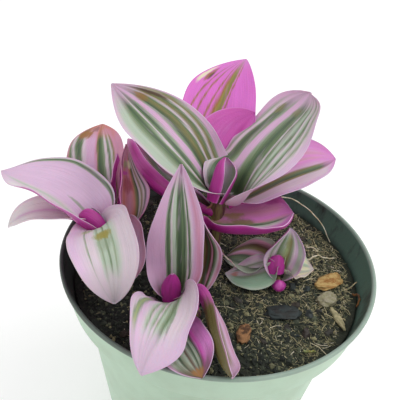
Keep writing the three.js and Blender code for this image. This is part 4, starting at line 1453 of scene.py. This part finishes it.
@dataclass
class Mix:
    """The potting mix: its rough surface, its crumbs, fibres and grains.

    Its outer side goes down to the height edge. neck and foot give the radius and height of the
    hidden wall's top and bottom inside the pot. dry is which way the fibres lie denser.
    """

    radius: float = 55.6
    level: float = 93.35
    relief: float = 1.5
    rings: int = 84
    sides: int = 200
    strewn: float = 53.4
    edge: float = 92.4
    neck: tuple[float, float] = (50.9, 92.3)
    foot: tuple[float, float] = (41.0, 3.6)
    lit_right: tuple[float, float, float] = (6.5, 3.5, 0.0)

    def height(self, x: float, y: float) -> float:
        """Gives the surface's height.

        Args:
            x: the place to the right.
            y: the place towards the back.

        Returns:
            The height in millimetres.
        """
        broad = noise.noise(Vector((x / 17, y / 17, 2.3)))
        lumps = noise.noise(Vector((x / 5.5, y / 5.5, 7.1)))
        fine = noise.noise(Vector((x / 1.9, y / 1.9, 4.4)))
        return self.level + self.relief * (0.45 * broad + 0.4 * lumps + 0.25 * fine)

    def surface(self) -> tuple[np.ndarray, list]:
        """Lays out the surface alone, in rings round its middle.

        Returns:
            Its points and faces.
        """
        points = [(0.0, 0.0, self.height(0, 0))]
        for ring in range(1, self.rings + 1):
            r = self.radius * ring / self.rings
            for side in range(self.sides):
                turn = 2 * math.pi * side / self.sides
                x, y = r * math.cos(turn), r * math.sin(turn)
                points.append((x, y, self.height(x, y)))
        faces = [(0, 1 + i, 1 + (i + 1) % self.sides) for i in range(self.sides)]
        for ring in range(self.rings - 1):
            a, b = 1 + ring * self.sides, 1 + (ring + 1) * self.sides
            for i in range(self.sides):
                j = (i + 1) % self.sides
                faces.append((a + i, b + i, b + j, a + j))
        return np.array(points), faces

    def build(self) -> None:
        """Makes the bed and all that is strewn on it."""
        points, faces = self.surface()
        rim = 1 + (self.rings - 1) * self.sides
        walls = []
        for radius, height in ((self.radius, self.edge), self.neck, self.foot):
            turn = np.arange(self.sides) * 2 * np.pi / self.sides
            walls.append(np.stack([radius * np.cos(turn), radius * np.sin(turn), 0 * turn + height], -1))
        start = len(points)
        closed = list(faces)
        for k in range(len(walls)):
            a = rim if k == 0 else start + (k - 1) * self.sides
            b = start + k * self.sides
            for i in range(self.sides):
                j = (i + 1) % self.sides
                closed.append((a + i, b + i, b + j, a + j))
        centre = start + len(walls) * self.sides
        last = start + (len(walls) - 1) * self.sides
        closed += [(centre, last + (i + 1) % self.sides, last + i) for i in range(self.sides)]
        body = np.vstack([points, *walls, [[0, 0, self.foot[1]]]])
        settle(new_object("potting_mix", body, closed, EarthFinish().material()), "soil", "soil")
        reach = np.hypot(points[:, 0], points[:, 1])
        inside = [face for face in faces if max(reach[i] for i in face) < self.strewn]
        host = new_object("mix_surface", points, inside, EarthFinish().material())
        self.strew_all(host)
        bpy.data.objects.remove(host)

    def strew_all(self, host: bpy.types.Object) -> None:
        """Strews crumbs, chips, fibres and grains over the surface.

        Args:
            host: the bare surface.
        """
        brown = ((0.0, T.BLACK_EARTH), (0.45, T.EARTH), (0.8, T.LOAM), (1.0, T.TAN))
        pale = ((0.0, T.EARTH), (0.3, T.LOAM), (0.65, T.TAN), (0.92, T.STRAW), (1.0, T.BONE))
        dark = ((0.0, T.SLATE), (0.5, T.UMBER), (1.0, T.EARTH))
        white = ((0.0, T.STONE), (1.0, T.BONE))
        beds = [
            Bed("fine_crumbs", 760000.0, 0.45, 1.5, GritFinish("crumb_earth", brown), 11),
            Bed("coarse_crumbs", 70000.0, 1.2, 2.6, GritFinish("lump_earth", brown), 23, 2),
            Bed("dark_chips", 6000.0, 2.2, 4.2, GritFinish("chip_dark", dark, 0.6), 37, 2),
            Bed("white_grains", 1800.0, 0.7, 1.5, GritFinish("grain_white", white, 0.8), 41),
            Bed("short_fibres", 2900000.0, 1.2, 3.8, GritFinish("fibre_tan", pale, 0.8), 53, bend=0.22),
            Bed("long_fibres", 480000.0, 3.0, 7.5, GritFinish("fibre_straw", pale, 0.75), 67, bend=0.3,
                thin=0.019),
        ]
        for bed in beds:
            bed.strew(host, self.lit_right)


@dataclass(frozen=True)
class ChipFinish:
    """Weathered bark, grit or wood, in bands along the piece."""

    name: str
    light: Tone
    dark: Tone
    rough: float = 0.85
    bands: float = 900.0

    def material(self) -> bpy.types.Material:
        """Makes the finish, in layers from dark to light.

        Returns:
            The material.
        """
        net = Net(self.name)
        place = net.place()
        x, y, z = net.axes(place)
        layer = net.noise(net.vector(x * 0.3, y * 0.5, z * 2.2), self.bands, 4.0, 0.65)
        speck = net.noise(place, 1300.0, 3.0, 0.7)
        colour = net.mix(net.step(layer, 0.4, 0.62), self.light, self.dark)
        net.finish(net.shade(colour, speck * 0.5 + 0.75), self.rough, layer + speck * 0.5, 0.4)
        return net.material


@dataclass
class Chip:
    """One loose bit lying on the mix."""

    name: str
    node: str
    slot: str
    at: tuple[float, float]
    size: tuple[float, float, float]
    turn: float
    finish: ChipFinish
    seed: float
    curl: float = 0.0

    def build(self) -> None:
        """Makes a rough flat flake, a little curled."""
        rows, sides = 26, 40
        swing = math.radians(self.turn)
        points = []
        for row in range(rows + 1):
            lat = math.pi * (row / rows - 0.5)
            for side in range(sides):
                lon = 2 * math.pi * side / sides
                p = Vector((math.cos(lat) * math.cos(lon), math.cos(lat) * math.sin(lon), math.sin(lat)))
                p = Vector(math.copysign(abs(c) ** 0.75, c) for c in p)
                rough = noise.noise(p * 1.7 + Vector((self.seed,) * 3)) * 0.3
                rough += noise.noise(p * 5.0 + Vector((self.seed + 5,) * 3)) * 0.12
                p = p * (1 + rough)
                x, y = p.x * self.size[0] / 2, p.y * self.size[1] / 2
                z = (p.z * 0.5 + 0.5) * self.size[2] + self.curl * (p.x * p.x + p.y * p.y)
                points.append((self.at[0] + x * math.cos(swing) - y * math.sin(swing),
                               self.at[1] + x * math.sin(swing) + y * math.cos(swing), BITS_LEVEL + z))
        piece = new_object(self.name, np.array(points), lump_faces(rows, sides), self.finish.material())
        settle(piece, self.slot, self.node)


CHIPS: list[Chip] = [
    Chip("orange_bark", "bark_orange", "bark", (44.8, -2.6), (12.6, 6.4, 2.3), 36,
         ChipFinish("bark_orange_wood", T.HONEY, T.OCHRE), 2.1, 0.4),
    Chip("grey_stone", "stone_grey", "stone", (43.2, -12.2), (7.6, 5.8, 2.6), 40,
         ChipFinish("stone_grey_grit", T.STONE, T.TAN, 0.8, 1200.0), 0.4),
    Chip("dark_bark", "bark_dark", "charred_bark", (26.2, -21.5), (12.6, 6.6, 2.0), 8,
         ChipFinish("bark_dark_wood", T.SLATE, T.BLACK_EARTH, 0.6), 3.3),
    Chip("brown_bark", "bark_brown", "bark", (12.2, -33.5), (4.4, 8.2, 2.0), -12,
         ChipFinish("bark_brown_wood", T.BARK, T.BROWN), 1.7),
    Chip("pale_splinter", "splinter_pale", "splinter", (46, -20.5), (2.4, 9.8, 1.6), 22,
         ChipFinish("splinter_wood", T.STRAW, T.TAN), 2.6),
]


@dataclass
class Root:
    """A thin root or withered strand, laid along a few points."""

    name: str
    path: list[tuple[float, float, float]]
    radius: float
    light: Tone
    dark: Tone
    slot: str = "root"
    nodes: tuple[str, ...] = ()

    def build(self) -> None:
        """Makes the strand with a slight wander and taper."""
        path = catmull(self.path, 14)
        for number, point in enumerate(path):
            sway = Vector((number * 0.21, self.radius * 30, 1.7))
            path[number] = point + np.array([noise.noise(sway), noise.noise(sway + Vector((9, 0, 0))),
                                             noise.noise(sway + Vector((0, 9, 0)))]) * 0.35
        share = np.linspace(0, 1, len(path))
        radii = self.radius * (1 - 0.35 * share) * (1 + 0.12 * np.sin(share * 37))
        points, faces = tube(path, radii, 9)
        finish = StemFinish(self.light, self.dark, 0.6)
        piece = new_object(self.name, points, faces, finish.material(self.name + "_skin"))
        settle(piece, self.slot, *self.nodes)


ROOTS: list[Root] = [
    Root("pale_aerial_root", [(3.5, 9.5, 113), (13, 20, 114.5), (25, 28, 112), (34, 30.6, 108),
                              (43, 27.2, 102), (49, 24, 94.1)], 0.3, T.BONE, T.STRAW, nodes=("aerial_root",)),
    Root("brown_curl", [(53.6, -7.6, 94.2), (54.6, -9.2, 96.2), (54.9, -11.2, 96.4), (54.2, -13.4, 94.2)],
         0.5, T.OCHRE, T.BROWN, "soil"),
    Root("straw_right", [(50.4, -6.2, 94.3), (53.2, -4.4, 95.4), (55.2, -2.6, 96.6)], 0.3, T.STRAW, T.TAN,
         "soil"),
    Root("straw_back", [(37.8, 17.8, 94.2), (40.2, 17.4, 94.9), (42.8, 16.1, 94.3)], 0.34, T.BONE, T.STRAW,
         "soil"),
    Root("pale_root_right", [(38, 10, 94), (42, 12.6, 94.7), (46, 12, 94.5), (49.7, 13.5, 94)], 0.4, T.BONE,
         T.STRAW, "soil"),
    Root("pale_root_left", [(-2.5, -2, 106), (1, -4.5, 104.5), (5, -6, 102.4), (8, -6, 99)], 0.35, T.BONE,
         T.ROSE, "soil"),
    Root("red_strand", [(-18, 6, 94), (-16, 3, 99), (-10, 1, 104), (-4, 1.4, 108)], 0.5, T.BARK, T.PLUM,
         "soil"),
    Root("red_strand_low", [(-22, -2, 94), (-17, -3, 98), (-10, -1.5, 101), (-3, 1, 104)], 0.45, T.BROWN,
         T.WINE, "soil"),
    Root("green_bit", [(32.6, -37.2, 94.1), (34.6, -37.6, 95.2), (36.4, -36.6, 94.2)], 0.45, T.LIME, T.MOSS,
         "soil"),
]


@dataclass
class Studio:
    """The pale floor, the soft lights and the camera at the photograph's angle.

    at is the camera's place in millimetres, and aim what the lamps face, in metres as their places
    are. sky and floor_glow are strengths.
    """

    at: tuple[float, float, float] = (0.0, -137.0, 217.6)
    yaw: float = -3.67
    pitch: float = 34.2
    roll: float = 4.97
    lens: float = 40.5
    sky: float = 0.86
    floor_glow: float = 0.32
    floor_reach: float = 9000
    aim: tuple[float, float, float] = (0, 0, 0.1)

    def camera(self) -> None:
        """Sets up the camera."""
        yaw, pitch, roll = (math.radians(a) for a in (self.yaw, self.pitch, self.roll))
        ahead = Vector((math.sin(yaw) * math.cos(pitch), math.cos(yaw) * math.cos(pitch), -math.sin(pitch)))
        level = Vector((math.cos(yaw), -math.sin(yaw), 0))
        top = level.cross(ahead)
        right = level * math.cos(roll) + top * math.sin(roll)
        up = top * math.cos(roll) - level * math.sin(roll)
        data = bpy.data.cameras.new("camera")
        data.sensor_width, data.lens, data.clip_start = 36, self.lens, 0.005
        camera = bpy.data.objects.new("camera", data)
        bpy.context.scene.collection.objects.link(camera)
        turn = Matrix((right, up, -ahead)).transposed().to_4x4()
        camera.matrix_world = Matrix.Translation(Vector(self.at) * MM) @ turn
        bpy.context.scene.camera = camera

    def lamp(self, name: str, at: tuple[float, float, float], size: float, power: float) -> None:
        """Hangs one soft lamp that faces the plant.

        Args:
            name: the lamp's name.
            at: its place in metres.
            size: its side in metres.
            power: its power in watts.
        """
        data = bpy.data.lights.new(name, "AREA")
        data.shape, data.size, data.energy = "SQUARE", size, power
        lamp = bpy.data.objects.new(name, data)
        bpy.context.scene.collection.objects.link(lamp)
        aim = Vector(self.aim) - Vector(at)
        lamp.matrix_world = Matrix.Translation(Vector(at)) @ aim.to_track_quat("-Z", "Y").to_matrix().to_4x4()

    def build(self) -> None:
        """Makes the floor, the sky light and the lamps."""
        self.camera()
        net = Net("pale_floor", Emission_Strength=self.floor_glow)
        net.shader.inputs["Emission Color"].default_value = T.WHITE.linear()
        net.finish(T.FLOOR, 0.95, None)
        far = self.floor_reach
        corners = np.array([(-far, -far, 0), (far, -far, 0), (far, far, 0), (-far, far, 0)])
        floor = new_object("floor", corners, [(0, 1, 2, 3)], net.material)
        world = bpy.data.worlds.new("studio")
        world.use_nodes = True
        light = world.node_tree.nodes["Background"].inputs
        light["Color"].default_value = (1.0, 1.0, 1.0, 1.0)
        light["Strength"].default_value = self.sky
        bpy.context.scene.world = world
        self.lamp("key", at=(0.8, 0.1, 1.3), size=0.9, power=7.4)
        self.lamp("fill", at=(-0.9, -0.9, 0.9), size=1.2, power=1.5)
        view = bpy.context.scene.view_settings
        view.view_transform, view.look = "Standard", "None"


SHOOTS: list[Shoot] = [
    Shoot("main", "leafy_stem_main", [(-2, 2, 78), (-2, 2, 100), (-1.8, 3.4, 113), (-2.2, 5, 125)],
          (2.6, 2.8), MAIN_LEAVES),
    Shoot("left", "leafy_stem_left", [(-29, 0, 78), (-32, -2, 94), (-37, -4, 103), (-46, -5.5, 108.5),
                                      (-49, -4.5, 112)], (2.4, 2.6), LEFT_LEAVES),
    Shoot("front", "leafy_stem_front", [(-4, -24, 78), (-5, -26, 92), (-8, -29, 96), (-13, -30, 99)],
          (2.4, 2.6), FRONT_LEAVES),
    Shoot("small", "leafy_stem_small", [(22, 2, 78), (22, 2, 92), (23.4, -1.8, 97), (24, -5.6, 100.8)],
          (1.8, 2.0), SMALL_LEAVES),
]


def main() -> None:
    """Builds the studio, then the pot, the mix, the shoots and the loose bits."""
    logging.basicConfig(level=logging.INFO, format="%(name)s %(message)s")
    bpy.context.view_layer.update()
    Studio().build()
    Pot().build()
    Mix().build()
    for shoot in SHOOTS:
        shoot.build()
    Bud().build()
    for chip in CHIPS:
        chip.build()
    for root in ROOTS:
        root.build()


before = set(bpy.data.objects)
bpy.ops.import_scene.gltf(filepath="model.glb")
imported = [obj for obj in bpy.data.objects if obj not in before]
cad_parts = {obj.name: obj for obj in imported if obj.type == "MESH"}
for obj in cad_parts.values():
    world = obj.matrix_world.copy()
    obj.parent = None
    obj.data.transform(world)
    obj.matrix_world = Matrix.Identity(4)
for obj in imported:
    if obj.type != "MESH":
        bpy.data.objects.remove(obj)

if __name__ == "__main__":
    main()
